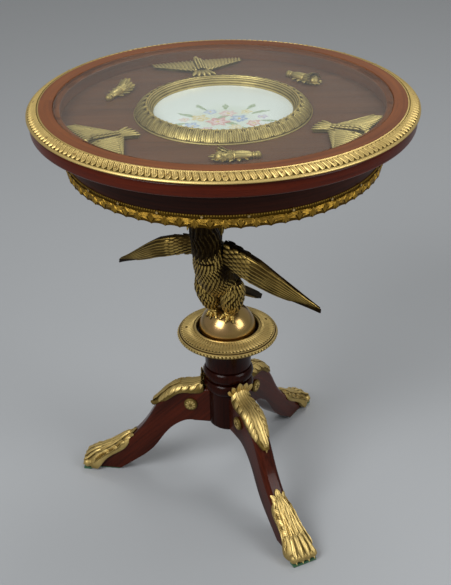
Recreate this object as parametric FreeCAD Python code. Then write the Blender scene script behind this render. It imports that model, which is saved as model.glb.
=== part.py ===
import FreeCAD, Part
import math
import os

V = FreeCAD.Vector
ORIGIN = V(0, 0, 0)
UP = V(0, 0, 1)

# Overall sizes, millimetres. Origin on the floor under the column, front towards -Y, +Z up.
TABLE_HEIGHT = 740.0
TOP_RADIUS = 305.0

# Fits
PIN_PLAY = 0.05
GLASS_PLAY = 0.5
PLAQUE_PLAY = 0.4

# Glass pane and the top ring it drops into
RIM_WIDTH = 42.0
GLASS_THICKNESS = 5.0
GLASS_CHAMFER = 1.0
GLASS_LEDGE = 10.5
RING_FLAT = 21.5
RECESS_DEPTH = 24.0

# Gilt band on the sloping rim, shadow gap and edge moulding below it
BAND_DROP = 9.0
BAND_THICKNESS = 2.5
BAND_LIP = 2.0
BAND_BULGE = 1.0
SHADOW_GAP = 2.0
MOULDING_SETBACK = 4.0
MOULDING_WIDTH = 11.0
MOULDING_ROUND = 4.0

# Display floor, drum apron and its gilt border
FLOOR_THICKNESS = 10.0
APRON_SETBACK = 55.5
APRON_WALL = 16.0
APRON_HEIGHT = 69.0
BORDER_HEIGHT = 23.0
BORDER_THICKNESS = 3.5
BORDER_FOOT = 1.5
BORDER_DROP = 2.5
SCALLOP_COUNT = 72
SCALLOP_NOTCH = 3.2

# Porcelain plaque and its frame; the frame's outer radius is a share of the recess
PLAQUE_THICKNESS = 3.0
PLAQUE_REBATE = 4.0
FRAME_SHARE = 0.5545
FRAME_SLOPE = 20.0
FRAME_INNER_SLOPE = 11.0
FRAME_HEIGHT = 17.0
FRAME_LIP = 1.5

# Gilt mounts on the display floor: reach, span, depth and length are shares of the recess radius
EAGLE_MOUNT_REACH = 0.812
EAGLE_MOUNT_AZIMUTHS = (101.0, -147.0, -29.0)
EAGLE_MOUNT_SPAN = 0.301
EAGLE_MOUNT_SIZE = 0.3327
EAGLE_MOUNT_THICKNESS = 3.5
EAGLE_MOUNT_BODY = 9.0
EAGLE_MOUNT_GIRTH = ((0, 0.22), (0.3, 1.0), (0.62, 0.8), (1, 0.33))
TORCH_MOUNT_REACH = 0.7525
TORCH_MOUNT_AZIMUTHS = (154.0, 46.0, -84.0)
TORCH_SIZE = 0.198
TORCH_BUTT = 4.0
TORCH_MOUTH = 9.5
TORCH_BALL = 6.0
TORCH_LIFT = 4.0

# Bearers, glue blocks and mounting plate inside the apron
BEARER_WIDTH = 46.0
BEARER_HEIGHT = 43.0
BEARER_END_GAP = 0.5
BLOCK_LENGTH = 40.0
BLOCK_DEPTH = 18.0
BLOCK_HEIGHT = 18.0
BLOCK_COUNT = 8
BLOCK_START = 22.5
PLATE_RADIUS = 60.0
PLATE_THICKNESS = 6.0

# Rises of the stem and the eagle are shares of the height from the globe to the mounting plate
# Stem between the eagle's back and the mounting plate
STEM_FOOT_RADIUS = 8.0
STEM_FOOT_FORWARD = 25.0
STEM_FOOT_RISE = 0.347
STEM_SHOULDER_RISE = 0.534
STEM_NECK_RADIUS = 14.0
STEM_FLANGE_RADIUS = 36.0
STEM_FLANGE_THICKNESS = 7.0

# Eagle, in its own frame: forward, to its left, up
EAGLE_AZIMUTH = -118.5
TORSO_FOOT_FORWARD = 4.0
TORSO_FOOT_RISE = 0.095
TORSO_TOP_FORWARD = 66.0
TORSO_TOP_RISE = 0.5026
TORSO_RADIUS = 35.0
TORSO_GIRTH = ((0, 0.3), (0.1, 0.62), (0.25, 0.88), (0.45, 1.0), (0.66, 0.92), (0.86, 0.74), (1, 0.55))
NECK_FORWARD = 84.0
NECK_RISE = 0.734
NECK_RADIUS = 21.0
HEAD_RADIUS = 20.0
BEAK_LENGTH = 26.0
BEAK_RADIUS = 9.0
BEAK_WAY = V(1, 0, -0.15)
THIGH_FORWARD = 28.0
THIGH_SPREAD = 30.0
THIGH_RADIUS = 19.0
THIGH_RISE = 0.2366
THIGH_GIRTH = ((0, 0.5), (0.4, 1.0), (1, 0.6))
FOOT_FORWARD = 18.0
FOOT_SPREAD = 16.0
SHANK_RADIUS = 7.0
TALON_RADIUS = 4.0
TALON_REACH = 12.0
TALON_HEADINGS = (-40.0, 0.0, 40.0, 180.0)
PROP_RADIUS = 13.0
WING_ROOT_SPREAD = 26.0
WING_TIP_SPREAD = 190.0
WING_ROOT_RISE = 0.52
WING_TIP_RISE = 0.202
WING_ROOT_FORWARD = 52.0
WING_TIP_FORWARD = 37.0
WING_HALF_DEPTH_LEFT = 23.5
WING_HALF_DEPTH_RIGHT = 17.0
WING_HALF_THICKNESS = 9.0
WING_SWEEP = 14.0
TAIL_ROOT_WIDTH = 30.0
TAIL_END_WIDTH = 54.0
TAIL_LENGTH = 112.0
TAIL_THICKNESS = 9.0
TAIL_LIFT = 43.5
TAIL_SLOPE = 37.0

# Globe, ornament ring and dish
GLOBE_RADIUS = 49.5
GLOBE_FOOT = 2.0
DISH_RADIUS = 88.0
DISH_HEIGHT = 20.0
DISH_FOOT_RADIUS = 52.0
DISH_BEAD = 4.0
DISH_SWELL = 0.25
COLLAR_GAP = 5.0
COLLAR_RISE = 9.0
COLLAR_THICKNESS = 2.5

# Turned column
COLUMN_FOOT_Z = 128.0
COLUMN_TOP_Z = 296.0
COLUMN_DRUM_RADIUS = 36.0
COLUMN_RING_RADIUS = 44.0
COLUMN_RING_HEIGHT = 20.0
COLUMN_RING_GAP = 4.0
COLUMN_WAIST_RADIUS = 40.0
COLUMN_CAP_RADIUS = 48.0

# Legs
LEG_NAMES = ("front", "back", "left")
LEG_AZIMUTHS = (-63.5, 58.0, 171.0)
LEG_WIDTH = 31.0
LEG_TOP_Z = 196.0
KNEE_RADIUS = 75.0
ROOT_REACH = 66.0
HEEL_RADIUS = 206.0
FOOT_RADIUS = 262.0
FOOT_HEIGHT = 18.0
LEG_EDGE = 8.0
LEG_TOP_CURVE = (
    (0.155, 0.07), (0.283, 0.22), (0.412, 0.46), (0.561, 0.667), (0.733, 0.816), (0.882, 0.914))
LEG_LOWER_CURVE = ((0.157, 0.056), (0.3, 0.19), (0.486, 0.492), (0.671, 0.718), (0.857, 0.879))

# Gilt knee mounts, paws and rosettes
KNEE_RISE = 26.0
KNEE_MOUNT_THICKNESS = 5.0
KNEE_MOUNT_WIDTH = 38.0
KNEE_SKIRT = 8.0
KNEE_CURL = 6.0
PAW_THICKNESS = 4.5
PAW_ROOT_WIDTH = 38.0
PAW_WIDTH = 50.0
PAW_SKIRT = 15.0
PAW_REACH = 17.0
TOE_RADIUS = 8.5
TOE_PITCH = 11.5
TOE_COUNT = 4
ROSETTE_REACH = 67.0
ROSETTE_Z = 163.0
ROSETTE_RADIUS = 12.0
ROSETTE_HEIGHT = 6.0
ROSETTE_TIP = 1.0
FELT_THICKNESS = 4.0
FELT_HEEL_WIDTH = 27.0
FELT_TOE_WIDTH = 44.0
FELT_SETBACK = 3.0

# Hidden joints of the base
ROD_RADIUS = 6.0
ROD_LIFT = 52.5
ROD_TAIL = 4.0
NUT_FLATS = 19.0
NUT_HEIGHT = 9.0
WASHER_RADIUS = 12.0
WASHER_THICKNESS = 2.0
DOWEL_RADIUS = 5.0
DOWEL_INNER = 14.0
DOWEL_OUTER = 56.0
DOWEL_INSET = 24.0
SPIDER_THICKNESS = 4.0
SPIDER_HUB_RADIUS = 32.0
SPIDER_ARM_WIDTH = 22.0
SPIDER_ARM_REACH = 64.0
SPIDER_SCREW_REACH = 52.0

# Fasteners: shank radius, head radius, head height
PIN_SHANK = 1.1
PIN_HEAD = 1.9
PIN_HEAD_HEIGHT = 0.8
PIN_LENGTH = 9.0
PIN_COUNT = 24
SCREW_SHANK = 2.2
SCREW_HEAD = 4.5
SCREW_HEAD_HEIGHT = 2.5
WOOD_SCREW_LENGTH = 20.0
BEARER_SCREW_BITE = 7.0
BEARER_SCREW_GRIP = 16.0
BEARER_SCREW_SHARES = (-0.81, -0.41, 0.41, 0.81)
PLATE_SCREW_RADIUS = 50.0
FLANGE_SCREW_RADIUS = 28.0
FRAME_SCREW_INSET = 11.0
FRAME_SCREW_COUNT = 6
FRAME_SCREW_START = 15.0
FRAME_SCREW_BITE = 5.0
WING_SCREW_BITE = 22.0
WING_SCREW_INSET = 12.0

# Levels and radii that follow
GLASS_RADIUS = TOP_RADIUS - RIM_WIDTH
GLASS_SEAT_Z = TABLE_HEIGHT - GLASS_THICKNESS
RECESS_RADIUS = GLASS_RADIUS - GLASS_LEDGE
FRAME_OUTER_RADIUS = FRAME_SHARE * RECESS_RADIUS
FRAME_CREST_RADIUS = FRAME_OUTER_RADIUS - FRAME_SLOPE
FRAME_SIGHT_RADIUS = FRAME_CREST_RADIUS - FRAME_INNER_SLOPE
FRAME_SCREW_RADIUS = FRAME_OUTER_RADIUS - FRAME_SCREW_INSET
PLAQUE_RADIUS = FRAME_SIGHT_RADIUS + PLAQUE_REBATE
EAGLE_MOUNT_RADIUS = EAGLE_MOUNT_REACH * RECESS_RADIUS
EAGLE_MOUNT_HALF_SPAN = EAGLE_MOUNT_SPAN * RECESS_RADIUS
EAGLE_MOUNT_DEPTH = EAGLE_MOUNT_SIZE * RECESS_RADIUS
TORCH_MOUNT_RADIUS = TORCH_MOUNT_REACH * RECESS_RADIUS
TORCH_LENGTH = TORCH_SIZE * RECESS_RADIUS
RING_TOP_RADIUS = GLASS_RADIUS + GLASS_PLAY + RING_FLAT
FLOOR_TOP_Z = TABLE_HEIGHT - RECESS_DEPTH
FLOOR_BOTTOM_Z = FLOOR_TOP_Z - FLOOR_THICKNESS
BAND_LIP_Z = TABLE_HEIGHT - BAND_DROP
RIM_UNDER_Z = BAND_LIP_Z - BAND_LIP
MOULDING_TOP_Z = RIM_UNDER_Z - SHADOW_GAP
MOULDING_RADIUS = TOP_RADIUS - MOULDING_SETBACK
FLOOR_RADIUS = MOULDING_RADIUS - MOULDING_WIDTH
APRON_BOTTOM_Z = FLOOR_BOTTOM_Z - APRON_HEIGHT
APRON_RADIUS = TOP_RADIUS - APRON_SETBACK
APRON_INNER = APRON_RADIUS - APRON_WALL
BEARER_BOTTOM_Z = FLOOR_BOTTOM_Z - BEARER_HEIGHT
PLATE_BOTTOM_Z = BEARER_BOTTOM_Z - PLATE_THICKNESS
DISH_TOP_Z = COLUMN_TOP_Z + DISH_HEIGHT
GLOBE_CENTRE_Z = DISH_TOP_Z + GLOBE_FOOT
GLOBE_TOP_Z = GLOBE_CENTRE_Z + GLOBE_RADIUS
PERCH_HEIGHT = PLATE_BOTTOM_Z - GLOBE_TOP_Z
STEM_FOOT_Z = GLOBE_TOP_Z + STEM_FOOT_RISE * PERCH_HEIGHT
STEM_SHOULDER_Z = GLOBE_TOP_Z + STEM_SHOULDER_RISE * PERCH_HEIGHT
TORSO_FOOT = V(TORSO_FOOT_FORWARD, 0, GLOBE_TOP_Z + TORSO_FOOT_RISE * PERCH_HEIGHT)
TORSO_TOP = V(TORSO_TOP_FORWARD, 0, GLOBE_TOP_Z + TORSO_TOP_RISE * PERCH_HEIGHT)
NECK_TOP = V(NECK_FORWARD, 0, GLOBE_TOP_Z + NECK_RISE * PERCH_HEIGHT)
THIGH_TOP_Z = GLOBE_TOP_Z + THIGH_RISE * PERCH_HEIGHT
WING_ROOT_TOP_Z = GLOBE_TOP_Z + WING_ROOT_RISE * PERCH_HEIGHT
WING_TIP_TOP_Z = GLOBE_TOP_Z + WING_TIP_RISE * PERCH_HEIGHT
TAIL_ROOT_Z = GLOBE_TOP_Z + TAIL_LIFT
ROD_TOP_Z = GLOBE_TOP_Z + ROD_LIFT
SPIDER_BOTTOM_Z = COLUMN_FOOT_Z - SPIDER_THICKNESS
ROD_HOLE = ROD_RADIUS + PIN_PLAY
HALF_LEG = LEG_WIDTH / 2


def edges_of(path):
    """Edges through a path: a point draws a line, a pair of points draws an arc through the first."""
    edges = []
    last = V(*path[0])
    for step in path[1:]:
        if isinstance(step[0], tuple):
            through, end = V(*step[0]), V(*step[1])
            edges.append(Part.Arc(last, through, end).toShape())
        else:
            end = V(*step)
            edges.append(Part.makeLine(last, end))
        last = end
    return edges


def spline(points, start=None, end=None):
    curve = Part.BSplineCurve()
    if start is None:
        curve.interpolate(points)
    else:
        curve.interpolate(Points=points, InitialTangent=start, FinalTangent=end)
    return curve


def in_section(step):
    """A radius and height, or an arc of two such pairs, as points of the XZ plane."""
    if isinstance(step[0], tuple):
        return tuple((r, 0, z) for r, z in step)
    return (step[0], 0, step[1])


def turned(outline):
    """A solid turned about Z from a closed outline of radii and heights."""
    path = [in_section(step) for step in outline]
    first = path[0]
    edges = edges_of(path + [first])
    face = Part.Face(Part.Wire(edges))
    return face.revolve(ORIGIN, UP, 360)


def spindle(start, end, radius, stations):
    """A rounded solid of revolution from start to end, through shares of its length and of its radius."""
    axis = end - start
    points = [V(girth * radius, 0, share * axis.Length) for share, girth in stations]
    side = spline(points).toShape()
    foot, top = V(0, 0, points[0].z), V(0, 0, points[-1].z)
    edges = [Part.makeLine(foot, points[0]), side, Part.makeLine(points[-1], top), Part.makeLine(top, foot)]
    solid = Part.Face(Part.Wire(edges)).revolve(ORIGIN, UP, 360)
    solid.Placement = FreeCAD.Placement(start, FreeCAD.Rotation(UP, axis))
    return solid


def rod(start, end, radius):
    return Part.makeCylinder(radius, (end - start).Length, start, end - start)


def turned_to(shape, azimuth):
    copy = shape.copy()
    copy.rotate(ORIGIN, UP, azimuth)
    return copy


def around(shape, count, start=0.0):
    return [turned_to(shape, start + 360.0 * n / count) for n in range(count)]


def polar(radius, azimuth, z):
    angle = math.radians(azimuth)
    return V(radius * math.cos(angle), radius * math.sin(angle), z)


def fused(shapes):
    return shapes[0].multiFuse(shapes[1:]).removeSplitter()


def block(x0, x1, y0, y1, z0, z1):
    return Part.makeBox(x1 - x0, y1 - y0, z1 - z0, V(x0, y0, z0))


def fastener(seat, bite, length, shank, head, head_height):
    """A headed pin: the head stands on its seat and the shank runs along bite."""
    way = V(bite).normalize()
    return Part.makeCylinder(shank, length, seat, way).fuse(
        Part.makeCylinder(head, head_height, seat - way * head_height, way))


def screw(seat, bite, length):
    return fastener(seat, bite, length, SCREW_SHANK, SCREW_HEAD, SCREW_HEAD_HEIGHT)


def screw_hole(seat, bite, length, sink=0.0):
    """Room for a screw, with a counterbore of the given depth ahead of its seat."""
    way = V(bite).normalize()
    room = Part.makeCylinder(SCREW_SHANK + PIN_PLAY, length + PIN_PLAY, seat, way)
    if sink > 0:
        bore = Part.makeCylinder(SCREW_HEAD + PIN_PLAY, sink, seat - way * sink, way)
        room = room.fuse(bore)
    return room


def pin(seat, bite):
    return fastener(seat, bite, PIN_LENGTH, PIN_SHANK, PIN_HEAD, PIN_HEAD_HEIGHT)


def pin_hole(seat, bite):
    way = V(bite).normalize()
    return rod(seat - way * PIN_HEAD_HEIGHT, seat + way * (PIN_LENGTH + PIN_PLAY), PIN_SHANK + PIN_PLAY)


def drilled(shape, holes):
    return shape.cut(Part.makeCompound(holes))


# Glass, ring, band and moulding

def glass_top():
    edge = GLASS_CHAMFER
    return turned([
        (0, GLASS_SEAT_Z),
        (GLASS_RADIUS - edge, GLASS_SEAT_Z),
        (GLASS_RADIUS, GLASS_SEAT_Z + edge),
        (GLASS_RADIUS, TABLE_HEIGHT - edge),
        (GLASS_RADIUS - edge, TABLE_HEIGHT),
        (0, TABLE_HEIGHT)])


BAND_FOOT = (TOP_RADIUS - BAND_THICKNESS, RIM_UNDER_Z)
BAND_HEAD = (RING_TOP_RADIUS, TABLE_HEIGHT - BAND_THICKNESS)
BAND_MIDDLE = ((TOP_RADIUS + RING_TOP_RADIUS) / 2, (BAND_LIP_Z + TABLE_HEIGHT) / 2 + BAND_BULGE)


def band_pin_seats():
    seat_z = BAND_MIDDLE[1] + PIN_HEAD_HEIGHT / 2
    return [polar(BAND_MIDDLE[0], 360.0 * n / PIN_COUNT, seat_z) for n in range(PIN_COUNT)]


def top_ring():
    ring = turned([
        (RECESS_RADIUS, FLOOR_TOP_Z),
        (FLOOR_RADIUS, FLOOR_TOP_Z),
        (FLOOR_RADIUS, RIM_UNDER_Z),
        BAND_FOOT,
        BAND_HEAD,
        (RING_TOP_RADIUS, TABLE_HEIGHT),
        (GLASS_RADIUS + GLASS_PLAY, TABLE_HEIGHT),
        (GLASS_RADIUS + GLASS_PLAY, GLASS_SEAT_Z),
        (RECESS_RADIUS, GLASS_SEAT_Z)])
    return drilled(ring, [pin_hole(seat, -UP) for seat in band_pin_seats()])


def top_gilt_band():
    band = turned([
        BAND_HEAD,
        BAND_FOOT,
        (TOP_RADIUS, RIM_UNDER_Z),
        (TOP_RADIUS, BAND_LIP_Z),
        (BAND_MIDDLE, (RING_TOP_RADIUS, TABLE_HEIGHT))])
    holes = [pin_hole(seat, -UP) for seat in band_pin_seats()]
    sinks = [Part.makeCylinder(PIN_HEAD + PIN_PLAY, 2 * PIN_HEAD_HEIGHT, seat) for seat in band_pin_seats()]
    return drilled(band, holes + sinks)


def band_pins():
    return Part.makeCompound([pin(seat, -UP) for seat in band_pin_seats()])


def edge_moulding():
    round_share = MOULDING_ROUND * (1 - math.sqrt(0.5))
    outer, low, top = MOULDING_RADIUS, FLOOR_BOTTOM_Z, MOULDING_TOP_Z
    return turned([
        (FLOOR_RADIUS, low),
        (outer - MOULDING_ROUND, low),
        ((outer - round_share, low + round_share), (outer, low + MOULDING_ROUND)),
        (outer, top - MOULDING_ROUND),
        ((outer - round_share, top - round_share), (outer - MOULDING_ROUND, top)),
        (FLOOR_RADIUS, top)])


# Display floor and what stands on it

def frame_screw_seats():
    seat_z = FLOOR_BOTTOM_Z + SCREW_HEAD_HEIGHT
    step = 360.0 / FRAME_SCREW_COUNT
    return [polar(FRAME_SCREW_RADIUS, FRAME_SCREW_START + step * n, seat_z) for n in range(FRAME_SCREW_COUNT)]


FRAME_SCREW_LENGTH = FLOOR_THICKNESS - SCREW_HEAD_HEIGHT + FRAME_SCREW_BITE


def frame_screw_holes():
    return [screw_hole(seat, UP, FRAME_SCREW_LENGTH, SCREW_HEAD_HEIGHT) for seat in frame_screw_seats()]


def plaque_frame_screws():
    return Part.makeCompound([screw(seat, UP, FRAME_SCREW_LENGTH) for seat in frame_screw_seats()])


def porcelain_plaque():
    return Part.makeCylinder(PLAQUE_RADIUS, PLAQUE_THICKNESS, V(0, 0, FLOOR_TOP_Z))


def plaque_frame():
    seat_r = PLAQUE_RADIUS + PLAQUE_PLAY
    seat_z = FLOOR_TOP_Z + PLAQUE_THICKNESS
    crest = (FRAME_CREST_RADIUS, FLOOR_TOP_Z + FRAME_HEIGHT)
    belly = (0.45 * FRAME_CREST_RADIUS + 0.55 * FRAME_OUTER_RADIUS, FLOOR_TOP_Z + 0.68 * FRAME_HEIGHT)
    frame = turned([
        (seat_r, FLOOR_TOP_Z),
        (FRAME_OUTER_RADIUS, FLOOR_TOP_Z),
        (FRAME_OUTER_RADIUS, FLOOR_TOP_Z + FRAME_LIP),
        (belly, crest),
        (FRAME_CREST_RADIUS - FRAME_LIP, FLOOR_TOP_Z + FRAME_HEIGHT),
        (FRAME_SIGHT_RADIUS, seat_z + FRAME_LIP),
        (FRAME_SIGHT_RADIUS, seat_z),
        (seat_r, seat_z)])
    return drilled(frame, frame_screw_holes())


MOUNT_PIN_SPREAD = 0.4 * EAGLE_MOUNT_HALF_SPAN


def mount_pin_places():
    """Two pins under each eagle mount and one under each torch mount."""
    places = []
    for azimuth in EAGLE_MOUNT_AZIMUTHS:
        for side in (-1, 1):
            foot = V(EAGLE_MOUNT_RADIUS + 0.2 * EAGLE_MOUNT_DEPTH, side * MOUNT_PIN_SPREAD, FLOOR_TOP_Z)
            places.append(FreeCAD.Rotation(UP, azimuth).multVec(foot))
    for azimuth in TORCH_MOUNT_AZIMUTHS:
        places.append(polar(TORCH_MOUNT_RADIUS, azimuth, FLOOR_TOP_Z))
    return places


def mount_pin(place, play):
    low = V(0, 0, -0.7 * FLOOR_THICKNESS - play)
    high = V(0, 0, 0.6 * EAGLE_MOUNT_THICKNESS + play)
    return rod(place + low, place + high, PIN_SHANK + play)


def mount_pins():
    return Part.makeCompound([mount_pin(place, 0.0) for place in mount_pin_places()])


def mount_pin_holes():
    return [mount_pin(place, PIN_PLAY) for place in mount_pin_places()]


def eagle_mount(azimuth):
    """A flat spread-winged mount: straight outer wing edges, tail towards the plaque."""
    half, deep = EAGLE_MOUNT_HALF_SPAN, EAGLE_MOUNT_DEPTH
    wing = [(0.42, 0.0), (0.36, 0.14), (0.38, 0.95), (0.2, 0.96), (0.02, 0.62), (-0.12, 0.3), (-0.26, 0.15)]
    tail = [(-0.5, 0.27), (-0.56, 0.0)]
    right = [V(x * deep, y * half, 0) for x, y in wing + tail]
    left = [V(p.x, -p.y, 0) for p in reversed(right[1:-1])]
    plate = Part.Face(Part.makePolygon(right + left + right[:1])).extrude(V(0, 0, EAGLE_MOUNT_THICKNESS))
    body = spindle(V(-0.34 * deep, 0, 0), V(0.5 * deep, 0, 0), EAGLE_MOUNT_BODY, EAGLE_MOUNT_GIRTH)
    room = block(-deep, deep, -half, half, 0, deep)
    mount = plate.fuse(body.common(room)).removeSplitter()
    mount.translate(V(EAGLE_MOUNT_RADIUS, 0, FLOOR_TOP_Z))
    return drilled(turned_to(mount, azimuth), mount_pin_holes())


def torch_mount(azimuth):
    """A torch laid along the rim's curve, leafy at its head, with a ball on its thin end."""
    half = TORCH_LENGTH / 2
    shaft = Part.makeCone(TORCH_MOUTH, TORCH_BUTT, TORCH_LENGTH, V(0, -half, TORCH_LIFT), V(0, 1, 0))
    ball = Part.makeSphere(TORCH_BALL, V(0, half + 0.5 * TORCH_BALL, TORCH_LIFT))
    knob = Part.makeSphere(TORCH_MOUTH, V(0, -half, TORCH_LIFT))
    room = block(-TORCH_LENGTH, TORCH_LENGTH, -2 * TORCH_LENGTH, 2 * TORCH_LENGTH, 0, TORCH_LENGTH)
    torch = fused([shaft, ball, knob]).common(room)
    torch.translate(V(TORCH_MOUNT_RADIUS, 0, FLOOR_TOP_Z))
    return drilled(turned_to(torch, azimuth), mount_pin_holes())


def display_floor():
    board = Part.makeCylinder(FLOOR_RADIUS, FLOOR_THICKNESS, V(0, 0, FLOOR_BOTTOM_Z))
    bearer_holes = [screw_hole(seat, UP, BEARER_SCREW_LENGTH) for seat in bearer_screw_seats()]
    return drilled(board, frame_screw_holes() + mount_pin_holes() + bearer_holes)


# Apron, border, bearers and plate

def border_pin_seats():
    z = APRON_BOTTOM_Z + 0.8 * BORDER_HEIGHT
    start = 180.0 / PIN_COUNT
    spots = [start + 360.0 * n / PIN_COUNT for n in range(PIN_COUNT)]
    return [(polar(APRON_RADIUS + BORDER_THICKNESS, spot, z), polar(-1, spot, 0)) for spot in spots]


def drum_apron():
    apron = turned([
        (APRON_INNER, APRON_BOTTOM_Z),
        (APRON_RADIUS, APRON_BOTTOM_Z),
        (APRON_RADIUS, FLOOR_BOTTOM_Z),
        (APRON_INNER, FLOOR_BOTTOM_Z)])
    return drilled(apron, [pin_hole(seat, way) for seat, way in border_pin_seats()])


def drum_gilt_border():
    low = APRON_BOTTOM_Z - BORDER_DROP
    top = low + BORDER_HEIGHT
    outer = APRON_RADIUS + BORDER_THICKNESS
    border = turned([
        (APRON_RADIUS, low),
        (APRON_RADIUS + BORDER_FOOT, low),
        (outer, low + 0.6 * BORDER_HEIGHT),
        (outer, top),
        (APRON_RADIUS, top)])
    inner_end, outer_end = V(APRON_INNER, 0, low), V(APRON_RADIUS + 2 * BORDER_THICKNESS, 0, low)
    notch = rod(inner_end, outer_end, SCALLOP_NOTCH)
    holes = [pin_hole(seat, way) for seat, way in border_pin_seats()]
    return drilled(border, around(notch, SCALLOP_COUNT) + holes)


def border_pins():
    return Part.makeCompound([pin(seat, way) for seat, way in border_pin_seats()])


BEARER_SCREW_LENGTH = BEARER_SCREW_GRIP + BEARER_SCREW_BITE


def bearer_screw_seats():
    seat_z = FLOOR_BOTTOM_Z - BEARER_SCREW_GRIP
    stations = [share * APRON_INNER for share in BEARER_SCREW_SHARES]
    return [turned_place(V(x, 0, seat_z), turn) for turn in (0, 90) for x in stations]


def turned_place(place, azimuth):
    return FreeCAD.Rotation(UP, azimuth).multVec(place)


def bearer_screws():
    return Part.makeCompound([screw(seat, UP, BEARER_SCREW_LENGTH) for seat in bearer_screw_seats()])


def plate_screw_seats():
    return [polar(PLATE_SCREW_RADIUS, azimuth, PLATE_BOTTOM_Z) for azimuth in (0, 90, 180, 270)]


def bearer(azimuth, lap_low, lap_high):
    """A bar across the apron with the other bar's lap cut out between two levels."""
    reach = APRON_INNER - BEARER_END_GAP
    half = BEARER_WIDTH / 2
    bar = block(-APRON_INNER, APRON_INNER, -half, half, BEARER_BOTTOM_Z, FLOOR_BOTTOM_Z)
    bar = bar.common(Part.makeCylinder(reach, BEARER_HEIGHT, V(0, 0, BEARER_BOTTOM_Z)))
    bar = bar.cut(block(-half, half, -half, half, lap_low, lap_high))
    sink = BEARER_HEIGHT - BEARER_SCREW_GRIP
    holes = [screw_hole(seat, UP, BEARER_SCREW_LENGTH, sink) for seat in bearer_screw_seats()]
    holes += [screw_hole(seat, UP, WOOD_SCREW_LENGTH) for seat in plate_screw_seats()]
    return drilled(turned_to(bar, azimuth), holes)


BEARER_MIDDLE_Z = BEARER_BOTTOM_Z + BEARER_HEIGHT / 2


def bearer_long():
    return bearer(0, BEARER_BOTTOM_Z, BEARER_MIDDLE_Z)


def bearer_cross():
    return bearer(90, BEARER_MIDDLE_Z, FLOOR_BOTTOM_Z)


def glue_blocks():
    half = BLOCK_LENGTH / 2
    low = FLOOR_BOTTOM_Z - BLOCK_HEIGHT
    bar = block(APRON_INNER - BLOCK_DEPTH, APRON_INNER + BLOCK_DEPTH, -half, half, low, FLOOR_BOTTOM_Z)
    bar = bar.common(Part.makeCylinder(APRON_INNER, BLOCK_HEIGHT, V(0, 0, low)))
    return Part.makeCompound(around(bar, BLOCK_COUNT, BLOCK_START))


def flange_screw_seats():
    seat_z = PLATE_BOTTOM_Z - STEM_FLANGE_THICKNESS
    return [polar(FLANGE_SCREW_RADIUS, azimuth, seat_z) for azimuth in (45, 165, 285)]


FLANGE_SCREW_LENGTH = STEM_FLANGE_THICKNESS + PLATE_THICKNESS


def flange_screws():
    return Part.makeCompound([screw(seat, UP, FLANGE_SCREW_LENGTH) for seat in flange_screw_seats()])


def mounting_plate():
    plate = Part.makeCylinder(PLATE_RADIUS, PLATE_THICKNESS, V(0, 0, PLATE_BOTTOM_Z))
    holes = [screw_hole(seat, UP, WOOD_SCREW_LENGTH) for seat in plate_screw_seats()]
    holes += [screw_hole(seat, UP, FLANGE_SCREW_LENGTH) for seat in flange_screw_seats()]
    return drilled(plate, holes)


def plate_screws():
    return Part.makeCompound([screw(seat, UP, WOOD_SCREW_LENGTH) for seat in plate_screw_seats()])


def support_stem():
    """A cast stem that rises from between the eagle's shoulders and flares into a flange."""
    flange_z = PLATE_BOTTOM_Z - STEM_FLANGE_THICKNESS
    rings = [
        (STEM_FOOT_FORWARD, STEM_FOOT_Z, STEM_FOOT_RADIUS),
        (STEM_FOOT_FORWARD, STEM_SHOULDER_Z, STEM_FOOT_RADIUS),
        (0.4 * STEM_FOOT_FORWARD, 0.5 * (STEM_SHOULDER_Z + flange_z), STEM_NECK_RADIUS),
        (0, flange_z, 0.6 * STEM_FLANGE_RADIUS)]
    wires = [Part.Wire(Part.makeCircle(r, V(x, 0, z))) for x, z, r in rings]
    flange = Part.makeCylinder(STEM_FLANGE_RADIUS, STEM_FLANGE_THICKNESS, V(0, 0, flange_z))
    stem = turned_to(Part.makeLoft(wires, True), EAGLE_AZIMUTH).fuse(flange)
    return drilled(stem, [screw_hole(seat, UP, FLANGE_SCREW_LENGTH) for seat in flange_screw_seats()])


# Eagle

def globe_ball():
    return Part.makeSphere(GLOBE_RADIUS, V(0, 0, GLOBE_CENTRE_Z))


def on_globe(forward, side, lift):
    height = math.sqrt(GLOBE_RADIUS ** 2 - forward ** 2 - side ** 2)
    out = V(forward, side, height).normalize()
    return V(0, 0, GLOBE_CENTRE_Z) + out * (GLOBE_RADIUS + lift)


def eagle_leg(side):
    """Feathered thigh, bare shank and a foot of spread talons on the globe."""
    spread = side * FOOT_SPREAD
    ankle = on_globe(FOOT_FORWARD, spread, TALON_RADIUS)
    thigh_top = V(THIGH_FORWARD, side * THIGH_SPREAD, THIGH_TOP_Z)
    shapes = [
        spindle(thigh_top, ankle + V(0, 0, SHANK_RADIUS), THIGH_RADIUS, THIGH_GIRTH),
        rod(ankle, ankle + V(0, 0, 2 * SHANK_RADIUS), SHANK_RADIUS),
        Part.makeSphere(SHANK_RADIUS, ankle)]
    for heading in TALON_HEADINGS:
        reach = polar(TALON_REACH, heading, 0)
        tip = on_globe(FOOT_FORWARD + reach.x, spread + reach.y, 0.3 * TALON_RADIUS)
        way = tip - ankle
        shapes.append(Part.makeCone(TALON_RADIUS, 0.5 * TALON_RADIUS, way.Length, ankle, way))
        shapes.append(Part.makeSphere(0.5 * TALON_RADIUS, tip))
    return shapes


def eagle_torso():
    return spindle(TORSO_FOOT, TORSO_TOP, TORSO_RADIUS, TORSO_GIRTH)


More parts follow.
